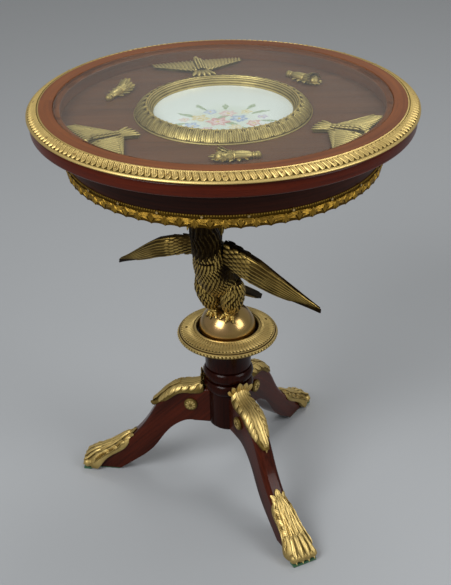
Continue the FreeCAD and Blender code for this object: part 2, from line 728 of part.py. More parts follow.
def eagle_head():
    way = V(BEAK_WAY).normalize()
    rise = NECK_TOP - TORSO_TOP
    neck_foot = TORSO_TOP - V(rise).normalize() * NECK_RADIUS
    neck = Part.makeCone(1.15 * NECK_RADIUS, 0.85 * NECK_RADIUS, rise.Length + NECK_RADIUS, neck_foot, rise)
    skull = Part.makeSphere(HEAD_RADIUS, NECK_TOP)
    beak_root = NECK_TOP + way * 0.75 * HEAD_RADIUS
    beak = Part.makeCone(BEAK_RADIUS, 0.15 * BEAK_RADIUS, BEAK_LENGTH, beak_root, way)
    return [neck, skull, beak]


def eagle_solid():
    prop = rod(V(0, 0, GLOBE_CENTRE_Z), V(0, 0, ROD_TOP_Z + ROD_RADIUS), PROP_RADIUS)
    parts = [eagle_torso(), prop] + eagle_head() + eagle_leg(1) + eagle_leg(-1)
    return turned_to(fused(parts), EAGLE_AZIMUTH)


def eagle_body():
    bore = rod(V(0, 0, GLOBE_CENTRE_Z), V(0, 0, ROD_TOP_Z + PIN_PLAY), ROD_HOLE)
    body = eagle_solid().cut(globe_ball()).cut(bore).cut(support_stem())
    return drilled(body, wing_screw_holes())


# Wing stations: share of the span, drop of the upper edge, forward sweep, depth and thickness shares
WING_STATIONS = ((0, 0.0, -0.15, 1.05, 1.3), (0.2, 0.07, 0.5, 1.0, 1.0), (0.42, 0.2, 1.0, 0.98, 0.8),
                 (0.61, 0.45, 0.8, 0.75, 0.62), (0.81, 0.74, 0.43, 0.42, 0.45), (1, 1.0, 0, 0.18, 0.28))


def wing_half_depth(side):
    return WING_HALF_DEPTH_LEFT if side > 0 else WING_HALF_DEPTH_RIGHT


def wing_centre(station, side):
    share, drop, sweep, depth, _ = station
    spread = WING_ROOT_SPREAD + share * (WING_TIP_SPREAD - WING_ROOT_SPREAD)
    forward = WING_ROOT_FORWARD + share * (WING_TIP_FORWARD - WING_ROOT_FORWARD) + sweep * WING_SWEEP
    top = WING_ROOT_TOP_Z - drop * (WING_ROOT_TOP_Z - WING_TIP_TOP_Z)
    return V(forward, side * spread, top - depth * wing_half_depth(side))


def wing_blade(side):
    """A lowered wing: upright lens-shaped sections from the shoulder to the drooping tip."""
    wires = []
    for station in WING_STATIONS:
        depth, thick = station[3:]
        centre = wing_centre(station, side)
        high = centre + V(0, 0, depth * wing_half_depth(side))
        front = centre + V(thick * WING_HALF_THICKNESS, 0, 0)
        wires.append(Part.Wire(Part.Ellipse(high, front, centre).toShape()))
    return turned_to(Part.makeLoft(wires, True), EAGLE_AZIMUTH)


def wing_screw_ends(side):
    """From a point inside the wing's root to one inside the torso."""
    outer = wing_centre(WING_STATIONS[0], side) + V(0, side * WING_SCREW_INSET, 0)
    return turned_place(outer, EAGLE_AZIMUTH), turned_place(V(0, -side, 0), EAGLE_AZIMUTH)


WING_SCREW_LENGTH = WING_SCREW_INSET + WING_SCREW_BITE


def wing_screw_holes():
    ends = [wing_screw_ends(side) for side in (1, -1)]
    return [screw_hole(seat, way, WING_SCREW_LENGTH, SCREW_HEAD_HEIGHT + PIN_PLAY) for seat, way in ends]


def wing_screws():
    ends = [wing_screw_ends(side) for side in (1, -1)]
    return Part.makeCompound([screw(seat, way, WING_SCREW_LENGTH) for seat, way in ends])


def eagle_wing(side):
    return drilled(wing_blade(side).cut(eagle_solid()), wing_screw_holes())


def eagle_tail():
    """A flat fan with a rounded end, sloping down behind the eagle."""
    root, end = TAIL_ROOT_WIDTH / 2, TAIL_END_WIDTH / 2
    shoulder = 0.86 * TAIL_LENGTH
    start = (0, root, 0)
    rounded_end = ((-TAIL_LENGTH, 0, 0), (-shoulder, -end, 0))
    path = [start, (-shoulder, end, 0), rounded_end, (0, -root, 0), start]
    fan = Part.Face(Part.Wire(edges_of(path))).extrude(V(0, 0, TAIL_THICKNESS))
    fan.rotate(ORIGIN, V(0, 1, 0), -TAIL_SLOPE)
    fan.translate(V(0, 0, TAIL_ROOT_Z - TAIL_THICKNESS))
    return turned_to(fan, EAGLE_AZIMUTH).cut(eagle_solid())


# Globe, dish and column

def globe():
    foot = Part.makeCylinder(GLOBE_RADIUS, GLOBE_FOOT, V(0, 0, DISH_TOP_Z))
    lid = Part.makeCylinder(2 * GLOBE_RADIUS, GLOBE_RADIUS, V(0, 0, GLOBE_CENTRE_Z))
    dome = globe_ball().common(lid).fuse(foot).removeSplitter()
    return dome.cut(rod(V(0, 0, DISH_TOP_Z), V(0, 0, GLOBE_TOP_Z), ROD_HOLE))


DISH_EDGE = DISH_RADIUS - DISH_BEAD
DISH_RIM_LOW_Z = DISH_TOP_Z - 2 * DISH_BEAD


def dish():
    """A shallow turned dish that spreads from the column's cap to a rebated edge."""
    swell = (0.62 * DISH_RADIUS + 0.38 * DISH_FOOT_RADIUS, COLUMN_TOP_Z + DISH_SWELL * DISH_HEIGHT)
    return turned([
        (ROD_HOLE, COLUMN_TOP_Z),
        (DISH_FOOT_RADIUS, COLUMN_TOP_Z),
        (swell, (DISH_EDGE, DISH_RIM_LOW_Z)),
        (DISH_EDGE, DISH_TOP_Z),
        (ROD_HOLE, DISH_TOP_Z)])


def dish_bead():
    """The half-round bead let round the dish's edge."""
    nose = (DISH_RADIUS, DISH_RIM_LOW_Z + DISH_BEAD)
    return turned([(DISH_EDGE, DISH_RIM_LOW_Z), (nose, (DISH_EDGE, DISH_TOP_Z))])


def dish_collar():
    """The ornament ring that slopes up from the dish's rim to a dark gap round the globe."""
    outer = DISH_RADIUS - 2 * DISH_BEAD
    inner = GLOBE_RADIUS + COLLAR_GAP
    crest_z = DISH_TOP_Z + COLLAR_RISE
    middle = (0.5 * (inner + outer), DISH_TOP_Z + 0.66 * COLLAR_RISE)
    return turned([
        (inner, DISH_TOP_Z),
        (outer, DISH_TOP_Z),
        (outer, DISH_TOP_Z + COLLAR_THICKNESS),
        (middle, (inner + COLLAR_THICKNESS, crest_z)),
        (inner, crest_z)])


def column_outline():
    """Drum between the legs, two round ring mouldings, a waist and a cap under the dish."""
    path = [(ROD_HOLE, COLUMN_FOOT_Z), (COLUMN_DRUM_RADIUS, COLUMN_FOOT_Z)]
    z = LEG_TOP_Z + COLUMN_RING_GAP
    for _ in range(2):
        path += [(COLUMN_DRUM_RADIUS, z), (COLUMN_RING_RADIUS - COLUMN_RING_GAP, z)]
        path.append(((COLUMN_RING_RADIUS, z + COLUMN_RING_HEIGHT / 2),
                     (COLUMN_RING_RADIUS - COLUMN_RING_GAP, z + COLUMN_RING_HEIGHT)))
        z += COLUMN_RING_HEIGHT
        path.append((COLUMN_DRUM_RADIUS, z))
        z += COLUMN_RING_GAP
    cap_z = COLUMN_TOP_Z - COLUMN_RING_GAP
    sag = (0.7 * COLUMN_WAIST_RADIUS + 0.3 * COLUMN_CAP_RADIUS, 0.45 * z + 0.55 * cap_z)
    path += [(COLUMN_DRUM_RADIUS, z), (COLUMN_WAIST_RADIUS, z), (sag, (COLUMN_CAP_RADIUS, cap_z))]
    return path + [(COLUMN_CAP_RADIUS, COLUMN_TOP_Z), (ROD_HOLE, COLUMN_TOP_Z)]


def column_solid():
    outline = column_outline()
    tidy = [step for n, step in enumerate(outline) if n == 0 or step != outline[n - 1]]
    return turned(tidy)


def column():
    return drilled(column_solid(), dowels(PIN_PLAY))


def dowels(play):
    shapes = []
    levels = (COLUMN_FOOT_Z + DOWEL_INSET, LEG_TOP_Z - DOWEL_INSET)
    for azimuth in LEG_AZIMUTHS:
        for z in levels:
            inner, outer = polar(DOWEL_INNER - play, azimuth, z), polar(DOWEL_OUTER + play, azimuth, z)
            shapes.append(rod(inner, outer, DOWEL_RADIUS + play))
    return shapes


def leg_dowels():
    return Part.makeCompound(dowels(0.0))


# Legs, in the XZ plane with X outward, then turned to their azimuth

def leg_top_curve():
    """The leg's back: from the knee down to the toe."""
    run, fall = FOOT_RADIUS - KNEE_RADIUS, LEG_TOP_Z - FELT_THICKNESS - FOOT_HEIGHT
    shares = ((0, 0),) + LEG_TOP_CURVE + ((1, 1),)
    points = [V(KNEE_RADIUS + u * run, 0, LEG_TOP_Z - v * fall) for u, v in shares]
    return spline(points, V(1, 0, 0), V(0.8, 0, -0.6))


def leg_lower_curve():
    run, fall = HEEL_RADIUS - ROOT_REACH, COLUMN_FOOT_Z - FELT_THICKNESS
    shares = ((0, 0),) + LEG_LOWER_CURVE + ((1, 1),)
    points = [V(ROOT_REACH + u * run, 0, COLUMN_FOOT_Z - v * fall) for u, v in shares]
    return spline(points, V(1, 0, 0), V(0.8, 0, -0.6))


def leg_blank():
    foot_top = V(FOOT_RADIUS, 0, FELT_THICKNESS + FOOT_HEIGHT)
    foot_low = V(FOOT_RADIUS, 0, FELT_THICKNESS)
    heel = V(HEEL_RADIUS, 0, FELT_THICKNESS)
    root_low, root_top = V(DOWEL_INNER, 0, COLUMN_FOOT_Z), V(DOWEL_INNER, 0, LEG_TOP_Z)
    knee = V(KNEE_RADIUS, 0, LEG_TOP_Z)
    root = V(ROOT_REACH, 0, COLUMN_FOOT_Z)
    edges = [
        Part.makeLine(root_top, knee), leg_top_curve().toShape(), Part.makeLine(foot_top, foot_low),
        Part.makeLine(foot_low, heel), leg_lower_curve().toShape(), Part.makeLine(root, root_low),
        Part.makeLine(root_low, root_top)]
    face = Part.Face(Part.Wire(Part.__sortEdges__(edges)))
    face.translate(V(0, -HALF_LEG, 0))
    blank = face.extrude(V(0, LEG_WIDTH, 0))
    return blank.makeFillet(LEG_EDGE, [edge for edge in blank.Edges if on_leg_back(edge)])


def on_leg_back(edge):
    """Whether an edge runs along the leg's back: its straight stretch or its curve."""
    ends = [vertex.Point for vertex in edge.Vertexes]
    marks = (V(DOWEL_INNER, 0, LEG_TOP_Z), V(KNEE_RADIUS, 0, LEG_TOP_Z),
             V(FOOT_RADIUS, 0, FELT_THICKNESS + FOOT_HEIGHT))
    near = [any(math.hypot(end.x - mark.x, end.z - mark.z) < 0.01 for mark in marks) for end in ends]
    return all(near) and abs(ends[0].y - ends[-1].y) < 0.01


def column_drum():
    return Part.makeCylinder(COLUMN_DRUM_RADIUS, TABLE_HEIGHT)


def leg(azimuth):
    holes = dowels(PIN_PLAY) + [screw_hole(seat, UP, WOOD_SCREW_LENGTH) for seat in spider_screw_seats()]
    return drilled(turned_to(leg_blank().cut(column_drum()), azimuth), holes)


def leg_back_frame(share):
    """Point and outward way on the leg's back: below 0 on the straight root, above 1 past the foot."""
    if share < 0:
        root = KNEE_RADIUS - COLUMN_DRUM_RADIUS
        return V(KNEE_RADIUS + share * root, 0, LEG_TOP_Z), V(UP)
    curve = leg_top_curve()
    span = curve.LastParameter - curve.FirstParameter
    at = curve.FirstParameter + min(share, 1.0) * span
    along = curve.tangent(at)[0]
    past = max(share - 1.0, 0.0) * (FOOT_RADIUS - KNEE_RADIUS)
    return curve.value(at) + along * past, V(-along.z, 0, along.x)


def saddle(stations):
    """A skin bent over the leg's back: shares along it, each with half width, lift and skirt depth."""
    wires = []
    for share, half, lift, skirt in stations:
        point, way = leg_back_frame(share)
        across = V(0, half, 0)
        base, crest = point - way * skirt, point + way * lift
        low, high = base - across, base + across
        shoulder = 0.8 * across
        rise = 0.7 * (crest - base)
        bend = spline([low, base - shoulder + rise, crest, base + shoulder + rise, high])
        wires.append(Part.Wire([bend.toShape(), Part.makeLine(high, low)]))
    return Part.makeLoft(wires, True)


def knee_mount(azimuth):
    """A leaf that saddles the knee, leans on the column's ring and curls up at its tip."""
    half, thick, skirt = KNEE_MOUNT_WIDTH / 2, KNEE_MOUNT_THICKNESS, KNEE_SKIRT
    mount = saddle([
        (-0.82, 0.8 * half, KNEE_RISE, 0.7 * skirt), (-0.62, 0.92 * half, 0.5 * KNEE_RISE, skirt),
        (-0.25, half, 1.4 * thick, skirt), (0.06, half, thick, skirt), (0.16, 0.92 * half, thick, skirt),
        (0.25, 0.65 * half, thick, 0.5 * skirt), (0.31, 0.3 * half, thick + KNEE_CURL, -0.5 * thick)])
    return turned_to(mount.cut(leg_blank()).cut(column_solid()), azimuth)


def paw_foot(azimuth):
    """A hairy paw that caps the foot: cheeks on both sides of the wood and a row of toes."""
    wide, narrow = PAW_WIDTH / 2, PAW_ROOT_WIDTH / 2
    thick, skirt, toe = PAW_THICKNESS, PAW_SKIRT, FOOT_RADIUS + PAW_REACH
    paw = saddle([
        (0.64, 0.5 * narrow, 0.4 * thick, 0.2 * skirt), (0.7, 0.95 * narrow, thick, 0.6 * skirt),
        (0.8, narrow, thick, 0.8 * skirt), (0.9, 0.5 * (wide + narrow), 1.2 * thick, skirt),
        (0.98, wide, 1.4 * thick, 1.3 * skirt), (1.05, 0.92 * wide, thick, 1.4 * skirt)])
    toes = []
    for n in range(TOE_COUNT):
        across = (n - (TOE_COUNT - 1) / 2) * TOE_PITCH
        reach = toe - TOE_RADIUS - 0.12 * abs(across)
        toes.append(Part.makeSphere(TOE_RADIUS, V(reach, across, FELT_THICKNESS + TOE_RADIUS)))
    ground = block(0, 2 * toe, -PAW_WIDTH, PAW_WIDTH, -TABLE_HEIGHT, FELT_THICKNESS)
    return turned_to(fused([paw] + toes).cut(leg_blank()).cut(ground), azimuth)


def rosettes():
    """A dished flower boss on each side of every leg."""
    r, h = ROSETTE_RADIUS, ROSETTE_HEIGHT
    boss = turned([(0, 0), (r, 0), (r, 0.4 * h), ((0.8 * r, 0.75 * h), (0.55 * r, 0.5 * h)),
                   (0.45 * r, 0.5 * h), ((0.3 * r, 0.9 * h), (ROSETTE_TIP, h)), (0, h)])
    shapes = []
    for azimuth in LEG_AZIMUTHS:
        for side in (1, -1):
            one = boss.copy()
            one.rotate(ORIGIN, V(1, 0, 0), -90 * side)
            one.translate(V(ROSETTE_REACH, side * HALF_LEG, ROSETTE_Z))
            shapes.append(turned_to(one, azimuth))
    return Part.makeCompound(shapes)


def felt_pads():
    """Pads that follow the sole: narrow under the wood, wide under the toes."""
    heel, toe = HEEL_RADIUS + FELT_SETBACK, FOOT_RADIUS + PAW_REACH - FELT_SETBACK
    thin, wide = FELT_HEEL_WIDTH / 2, FELT_TOE_WIDTH / 2
    neck = FOOT_RADIUS - TOE_RADIUS
    plan = [V(heel, -thin, 0), V(neck, -thin, 0), V(FOOT_RADIUS, -wide, 0), V(toe, -wide, 0),
            V(toe, wide, 0), V(FOOT_RADIUS, wide, 0), V(neck, thin, 0), V(heel, thin, 0), V(heel, -thin, 0)]
    pad = Part.Face(Part.makePolygon(plan)).extrude(V(0, 0, FELT_THICKNESS))
    return Part.makeCompound([turned_to(pad, azimuth) for azimuth in LEG_AZIMUTHS])


# Spider brace, tie rod, nut and washer

def spider_screw_seats():
    return [polar(SPIDER_SCREW_REACH, azimuth, SPIDER_BOTTOM_Z) for azimuth in LEG_AZIMUTHS]


def spider_brace():
    arms = [Part.makeCylinder(SPIDER_HUB_RADIUS, SPIDER_THICKNESS, V(0, 0, SPIDER_BOTTOM_Z))]
    half = SPIDER_ARM_WIDTH / 2
    arm = block(0, SPIDER_ARM_REACH, -half, half, SPIDER_BOTTOM_Z, COLUMN_FOOT_Z)
    arms += [turned_to(arm, azimuth) for azimuth in LEG_AZIMUTHS]
    holes = [rod(V(0, 0, SPIDER_BOTTOM_Z), V(0, 0, COLUMN_FOOT_Z), ROD_HOLE)]
    holes += [screw_hole(seat, UP, WOOD_SCREW_LENGTH) for seat in spider_screw_seats()]
    return drilled(fused(arms), holes)


def spider_screws():
    return Part.makeCompound([screw(seat, UP, WOOD_SCREW_LENGTH) for seat in spider_screw_seats()])


WASHER_BOTTOM_Z = SPIDER_BOTTOM_Z - WASHER_THICKNESS
NUT_BOTTOM_Z = WASHER_BOTTOM_Z - NUT_HEIGHT


def tie_rod():
    return rod(V(0, 0, NUT_BOTTOM_Z - ROD_TAIL), V(0, 0, ROD_TOP_Z), ROD_RADIUS)


def rod_washer():
    disc = Part.makeCylinder(WASHER_RADIUS, WASHER_THICKNESS, V(0, 0, WASHER_BOTTOM_Z))
    return disc.cut(rod(V(0, 0, WASHER_BOTTOM_Z), V(0, 0, SPIDER_BOTTOM_Z), ROD_HOLE))


def rod_nut():
    corner = NUT_FLATS / math.sqrt(3)
    points = [polar(corner, 60 * n, NUT_BOTTOM_Z) for n in range(7)]
    hexagon = Part.Face(Part.makePolygon(points)).extrude(V(0, 0, NUT_HEIGHT))
    return hexagon.cut(rod(V(0, 0, NUT_BOTTOM_Z), V(0, 0, WASHER_BOTTOM_Z), ROD_HOLE))


def table_nodes():
    nodes = {
        "glass_top": glass_top(), "top_ring": top_ring(), "top_gilt_band": top_gilt_band(),
        "band_pins": band_pins(), "edge_moulding": edge_moulding(), "display_floor": display_floor(),
        "porcelain_plaque": porcelain_plaque(), "plaque_frame": plaque_frame(),
        "plaque_frame_screws": plaque_frame_screws(), "mount_pins": mount_pins(),
        "drum_apron": drum_apron(), "drum_gilt_border": drum_gilt_border(), "border_pins": border_pins(),
        "bearer_long": bearer_long(), "bearer_cross": bearer_cross(), "bearer_screws": bearer_screws(),
        "glue_blocks": glue_blocks(), "mounting_plate": mounting_plate(), "plate_screws": plate_screws(),
        "support_stem": support_stem(), "flange_screws": flange_screws(),
        "eagle_body": eagle_body(), "eagle_wing_left": eagle_wing(1), "eagle_wing_right": eagle_wing(-1),
        "eagle_tail": eagle_tail(), "wing_screws": wing_screws(),
        "globe": globe(), "dish_collar": dish_collar(), "dish": dish(), "dish_bead": dish_bead(),
        "column": column(), "leg_dowels": leg_dowels(), "rosettes": rosettes(), "felt_pads": felt_pads(),
        "spider_brace": spider_brace(), "spider_screws": spider_screws(),
        "tie_rod": tie_rod(), "rod_washer": rod_washer(), "rod_nut": rod_nut()}
    for n, azimuth in enumerate(EAGLE_MOUNT_AZIMUTHS, 1):
        nodes[f"eagle_mount_{n}"] = eagle_mount(azimuth)
    for n, azimuth in enumerate(TORCH_MOUNT_AZIMUTHS, 1):
        nodes[f"torch_mount_{n}"] = torch_mount(azimuth)
    for name, azimuth in zip(LEG_NAMES, LEG_AZIMUTHS):
        nodes[f"leg_{name}"] = leg(azimuth)
        nodes[f"knee_mount_{name}"] = knee_mount(azimuth)
        nodes[f"paw_foot_{name}"] = paw_foot(azimuth)
    return nodes


os.makedirs("parts", exist_ok=True)
for node, shape in table_nodes().items():
    shape.exportStep(f"parts/{node}.step")
    print(node, len(shape.Solids), "solids", "valid" if shape.isValid() else "INVALID", round(shape.Volume))
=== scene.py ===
import bmesh
import bpy
import math
from mathutils import Matrix, Vector
from mathutils.bvhtree import BVHTree


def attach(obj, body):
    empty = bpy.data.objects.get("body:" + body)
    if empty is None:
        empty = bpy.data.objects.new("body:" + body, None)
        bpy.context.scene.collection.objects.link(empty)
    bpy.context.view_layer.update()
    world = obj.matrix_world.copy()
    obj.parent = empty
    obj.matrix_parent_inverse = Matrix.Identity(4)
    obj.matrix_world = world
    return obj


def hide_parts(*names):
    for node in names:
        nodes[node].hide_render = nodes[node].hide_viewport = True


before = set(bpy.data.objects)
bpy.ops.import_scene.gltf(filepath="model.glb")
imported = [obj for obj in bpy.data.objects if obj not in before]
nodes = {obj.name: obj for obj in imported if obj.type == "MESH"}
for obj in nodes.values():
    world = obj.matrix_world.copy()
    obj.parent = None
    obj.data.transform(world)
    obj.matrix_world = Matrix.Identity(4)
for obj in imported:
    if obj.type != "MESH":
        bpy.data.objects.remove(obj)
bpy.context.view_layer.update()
mm = 0.001
fullTurn = 2 * math.pi
up = Vector((0, 0, 1))
legAzimuths = {"front": -63.5, "back": 58.0, "left": 171.0}
print("frame loaded:", len(nodes), "nodes")


# places and turns

def at(x, y, z):
    return Vector((x * mm, y * mm, z * mm))


def moved(x, y, z):
    return Matrix.Translation(at(x, y, z))


def turnedTo(azimuth):
    return Matrix.Rotation(math.radians(azimuth), 4, "Z")


def heading(degrees):
    return Vector((math.cos(math.radians(degrees)), math.sin(math.radians(degrees)), 0))


def blend(pair, share):
    return pair[0] + share * (pair[1] - pair[0])


def pathPoint(path, share):
    # the point at a share of a path's length, and the way it runs there
    spans = [(b - a).length for a, b in zip(path, path[1:])]
    left = share * sum(spans)
    n = 0
    while n < len(spans) - 1 and left > spans[n]:
        left -= spans[n]
        n += 1
    return path[n].lerp(path[n + 1], left / spans[n]), (path[n + 1] - path[n]).normalized()


# working with objects

def deselectAll():
    if bpy.context.mode != "OBJECT":
        bpy.ops.object.mode_set(mode="OBJECT")
    bpy.ops.object.select_all(action="DESELECT")


def pick(obj):
    deselectAll()
    obj.select_set(True)
    bpy.context.view_layer.objects.active = obj
    return obj


def named(name):
    obj = bpy.context.object
    obj.name = name
    obj.data.name = name
    return obj


def modified(obj, kind, **settings):
    pick(obj)
    modifier = obj.modifiers.new(kind, kind)
    for key, value in settings.items():
        setattr(modifier, key, value)
    bpy.ops.object.modifier_apply(modifier=modifier.name)
    return obj


def copyOf(obj, matrix=None):
    twin = obj.copy()
    twin.data = obj.data.copy()
    bpy.context.scene.collection.objects.link(twin)
    if matrix is not None:
        twin.data.transform(matrix)
    return twin


def joined(name, parts):
    deselectAll()
    for part in parts:
        part.select_set(True)
    bpy.context.view_layer.objects.active = parts[0]
    if len(parts) > 1:
        bpy.ops.object.join()
    return named(name)


def discard(*parts):
    for part in parts:
        bpy.data.objects.remove(part)


def paintRelief(obj, values):
    # how high each point stands on its ornament: 0 in the hollows, 1 on the ribs
    layer = obj.data.attributes.get("relief") or obj.data.attributes.new("relief", "FLOAT", "POINT")
    layer.data.foreach_set("value", values)


def paintEvenly(obj, relief):
    paintRelief(obj, [relief] * len(obj.data.vertices))
    return obj


def selectPoints(obj, wanted):
    bpy.ops.mesh.select_all(action="DESELECT")
    mesh = bmesh.from_edit_mesh(obj.data)
    mesh.verts.ensure_lookup_table()
    for index in wanted:
        mesh.verts[index].select = True
    mesh.select_flush_mode()
    bmesh.update_edit_mesh(obj.data)


def leaf(name, look):
    # a grid shaped row by row: place along, half width, lift and side shift in mm; folds lift its columns
    rows, folds = look["rows"], look["folds"]
    wide, long = len(folds) - 1, len(rows) - 1
    broadest = max(row[1] for row in rows)
    deselectAll()
    bpy.ops.mesh.primitive_grid_add(x_subdivisions=wide, y_subdivisions=long, size=2)
    obj = named(name)
    columnOf = [round((v.co.x + 1) / 2 * wide) for v in obj.data.vertices]
    rowOf = [round((v.co.y + 1) / 2 * long) for v in obj.data.vertices]
    bpy.ops.object.mode_set(mode="EDIT")
    for n, fold in enumerate(folds):
        selectPoints(obj, [i for i, column in enumerate(columnOf) if column == n])
        bpy.ops.transform.translate(value=(0, 0, fold * mm))
    for n, row in enumerate(rows):
        along, half, lift, shift = (*row, 0)[:4]
        start = -1 + 2 * n / long
        flatten = blend((0.35, 1.0), half / broadest)  # narrow rows fold less
        selectPoints(obj, [i for i, place in enumerate(rowOf) if place == n])
        bpy.ops.transform.resize(value=(half * mm, 1, flatten), center_override=(0, start, 0))
        bpy.ops.transform.translate(value=(shift * mm, along * mm - start, lift * mm))
    bpy.ops.object.mode_set(mode="OBJECT")
    low, span = min(folds), max(max(folds) - min(folds), 0.01)
    tones = look.get("floor", 0.15), look.get("crest", 1.0)
    paintRelief(obj, [blend(tones, (folds[column] - low) / span) for column in columnOf])
    return modified(obj, "SOLIDIFY", thickness=look["thick"] * mm, offset=-1)


def bead(name, radius, stretch=(1, 1, 1), detail=2, relief=1.0):
    deselectAll()
    bpy.ops.mesh.primitive_ico_sphere_add(subdivisions=detail, radius=radius * mm)
    obj = named(name)
    bpy.ops.object.mode_set(mode="EDIT")
    bpy.ops.mesh.select_all(action="SELECT")
    bpy.ops.transform.resize(value=stretch)
    bpy.ops.object.mode_set(mode="OBJECT")
    return paintEvenly(obj, relief)


def spunRing(name, profile, steps):
    # a closed outline of radius, height and relief, spun once round
    deselectAll()
    bpy.ops.mesh.primitive_plane_add(size=1 * mm)
    obj = named(name)
    spot = obj.data.vertices[0].co.copy()
    bpy.ops.object.mode_set(mode="EDIT")
    selectPoints(obj, [1, 2, 3])
    bpy.ops.mesh.delete(type="VERT")
    bpy.ops.mesh.select_all(action="SELECT")
    for n, (radius, height, _) in enumerate(profile):
        goal = at(radius, 0, height)
        if n == 0:
            bpy.ops.transform.translate(value=goal - spot)
        else:
            bpy.ops.mesh.extrude_region_move(TRANSFORM_OT_translate={"value": goal - spot})
        spot = goal
    selectPoints(obj, [0, len(profile) - 1])
    bpy.ops.mesh.edge_face_add()
    bpy.ops.mesh.select_all(action="SELECT")
    bpy.ops.mesh.spin(steps=steps, angle=fullTurn, center=(0, 0, 0), axis=(0, 0, 1))
    bpy.ops.mesh.select_all(action="SELECT")
    bpy.ops.mesh.remove_doubles(threshold=0.01 * mm)
    bpy.ops.mesh.normals_make_consistent(inside=False)
    bpy.ops.object.mode_set(mode="OBJECT")
    values = []
    for v in obj.data.vertices:
        place = math.hypot(v.co.x, v.co.y) / mm, v.co.z / mm
        values.append(min(profile, key=lambda point: math.dist(point[:2], place))[2])
    paintRelief(obj, values)
    return obj


def ringOf(name, motif, count, radius):
    # a motif with x along the ring and y towards its centre, repeated and bent to a full circle
    length = fullTurn * radius * mm
    modified(motif, "ARRAY", count=count, use_relative_offset=False, use_constant_offset=True,
             constant_offset_displace=(length / count, 0, 0))
    xs = [v.co.x for v in motif.data.vertices]
    angle = fullTurn * (max(xs) - min(xs)) / length
    modified(motif, "SIMPLE_DEFORM", deform_method="BEND", deform_axis="Z", angle=angle)
    motif.data.transform(moved(0, -radius, 0))
    return named(name)


def ringLeaf(name, look, radius):
    # a leaf for a ring, its rows given by radius, half width, height and side shift
    return leaf(name, dict(look, rows=[(radius - row[0], *row[1:]) for row in look["rows"]]))


def beadRing(name, count, radius, place, stretch=(1, 1, 1)):
    one = bead(name, radius, stretch, 1)
    one.data.transform(moved(0, 0, place[1]))
    return ringOf(name, one, count, place[0])


def cadBase(node, name, relief, voxel=0.0, smooth=0):
    # a closed skin in the shape of a CAD node, evened out by voxels where it has to carry ornament
    skin = copyOf(nodes[node])
    skin.parent = None
    for key in list(skin.keys()):
        del skin[key]
    skin.data.materials.clear()
    pick(skin)
    bpy.ops.object.mode_set(mode="EDIT")
    bpy.ops.mesh.select_all(action="SELECT")
    bpy.ops.mesh.remove_doubles(threshold=0.01 * mm)
    bpy.ops.object.mode_set(mode="OBJECT")
    if voxel:
        skin.data.remesh_voxel_size = voxel * mm
        bpy.ops.object.voxel_remesh()
    if smooth:
        modified(skin, "SMOOTH", factor=0.5, iterations=smooth)
    paintEvenly(pick(skin), relief)
    return named(name)


def surfaceOf(*names):
    points, faces = [], []
    for name in names:
        mesh = nodes[name].data
        base = len(points)
        points += [v.co.copy() for v in mesh.vertices]
        faces += [[base + i for i in face.vertices] for face in mesh.polygons]
    return BVHTree.FromPolygons(points, faces)


def lay(pattern, root, way, surface, size=1.0, lift=0.0):
    # a short leaf pressed onto a surface, its root at a point and its tip along a way
    spot, normal = surface.find_nearest(root)[:2]
    along = (way - way.dot(normal) * normal).normalized()
    across = along.cross(normal)
    twin = copyOf(pattern)
    for v in twin.data.vertices:
        hit, out = surface.find_nearest(spot + size * (v.co.x * across + v.co.y * along))[:2]
        v.co = hit + out * (size * v.co.z + lift * mm)
    return twin


def layAlong(pattern, path, across, surface, wide=1.0, lift=0.0):
    # a long leaf whose middle follows a path over a surface
    ys = [v.co.y for v in pattern.data.vertices]
    first, reach = min(ys), max(ys) - min(ys)
    twin = copyOf(pattern)
    for v in twin.data.vertices:
        middle, _ = pathPoint(path, (v.co.y - first) / reach)
        hit, out = surface.find_nearest(middle + across * v.co.x * wide)[:2]
        v.co = hit + out * (v.co.z + lift * mm)
    return twin


def stood(pattern, root, way, facing, size=1.0):
    # a free leaf: root at a point, tip along a way, upper side towards facing
    along = way.normalized()
    across = along.cross(facing).normalized()
    turn = Matrix((across, along, across.cross(along))).transposed().to_4x4()
    return copyOf(pattern, Matrix.Translation(root) @ turn @ Matrix.Diagonal((size, size, size, 1)))


def dressed(piece, finish, stands):
    # finish, smooth shading, and the CAD nodes that this piece stands for
    pick(piece)
    piece.data.materials.clear()
    piece.data.materials.append(finish)
    bpy.ops.object.shade_smooth_by_angle(angle=math.radians(40))
    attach(piece, "table")
    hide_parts(*stands)
    print("made", piece.name, len(piece.data.polygons), "faces")
    return piece


# shader building

class Wire:
    def __init__(self, finish, socket):
        self.finish = finish
        self.socket = socket

    def __add__(self, other):
        return self.finish.maths("ADD", self, other)

    def __sub__(self, other):
        return self.finish.maths("SUBTRACT", self, other)

    def __rsub__(self, other):
        return self.finish.maths("SUBTRACT", other, self)

    def __mul__(self, other):
        return self.finish.maths("MULTIPLY", self, other)

    def __truediv__(self, other):
        return self.finish.maths("DIVIDE", self, other)

    def __pow__(self, other):
        return self.finish.maths("POWER", self, other)

    __radd__ = __add__
    __rmul__ = __mul__


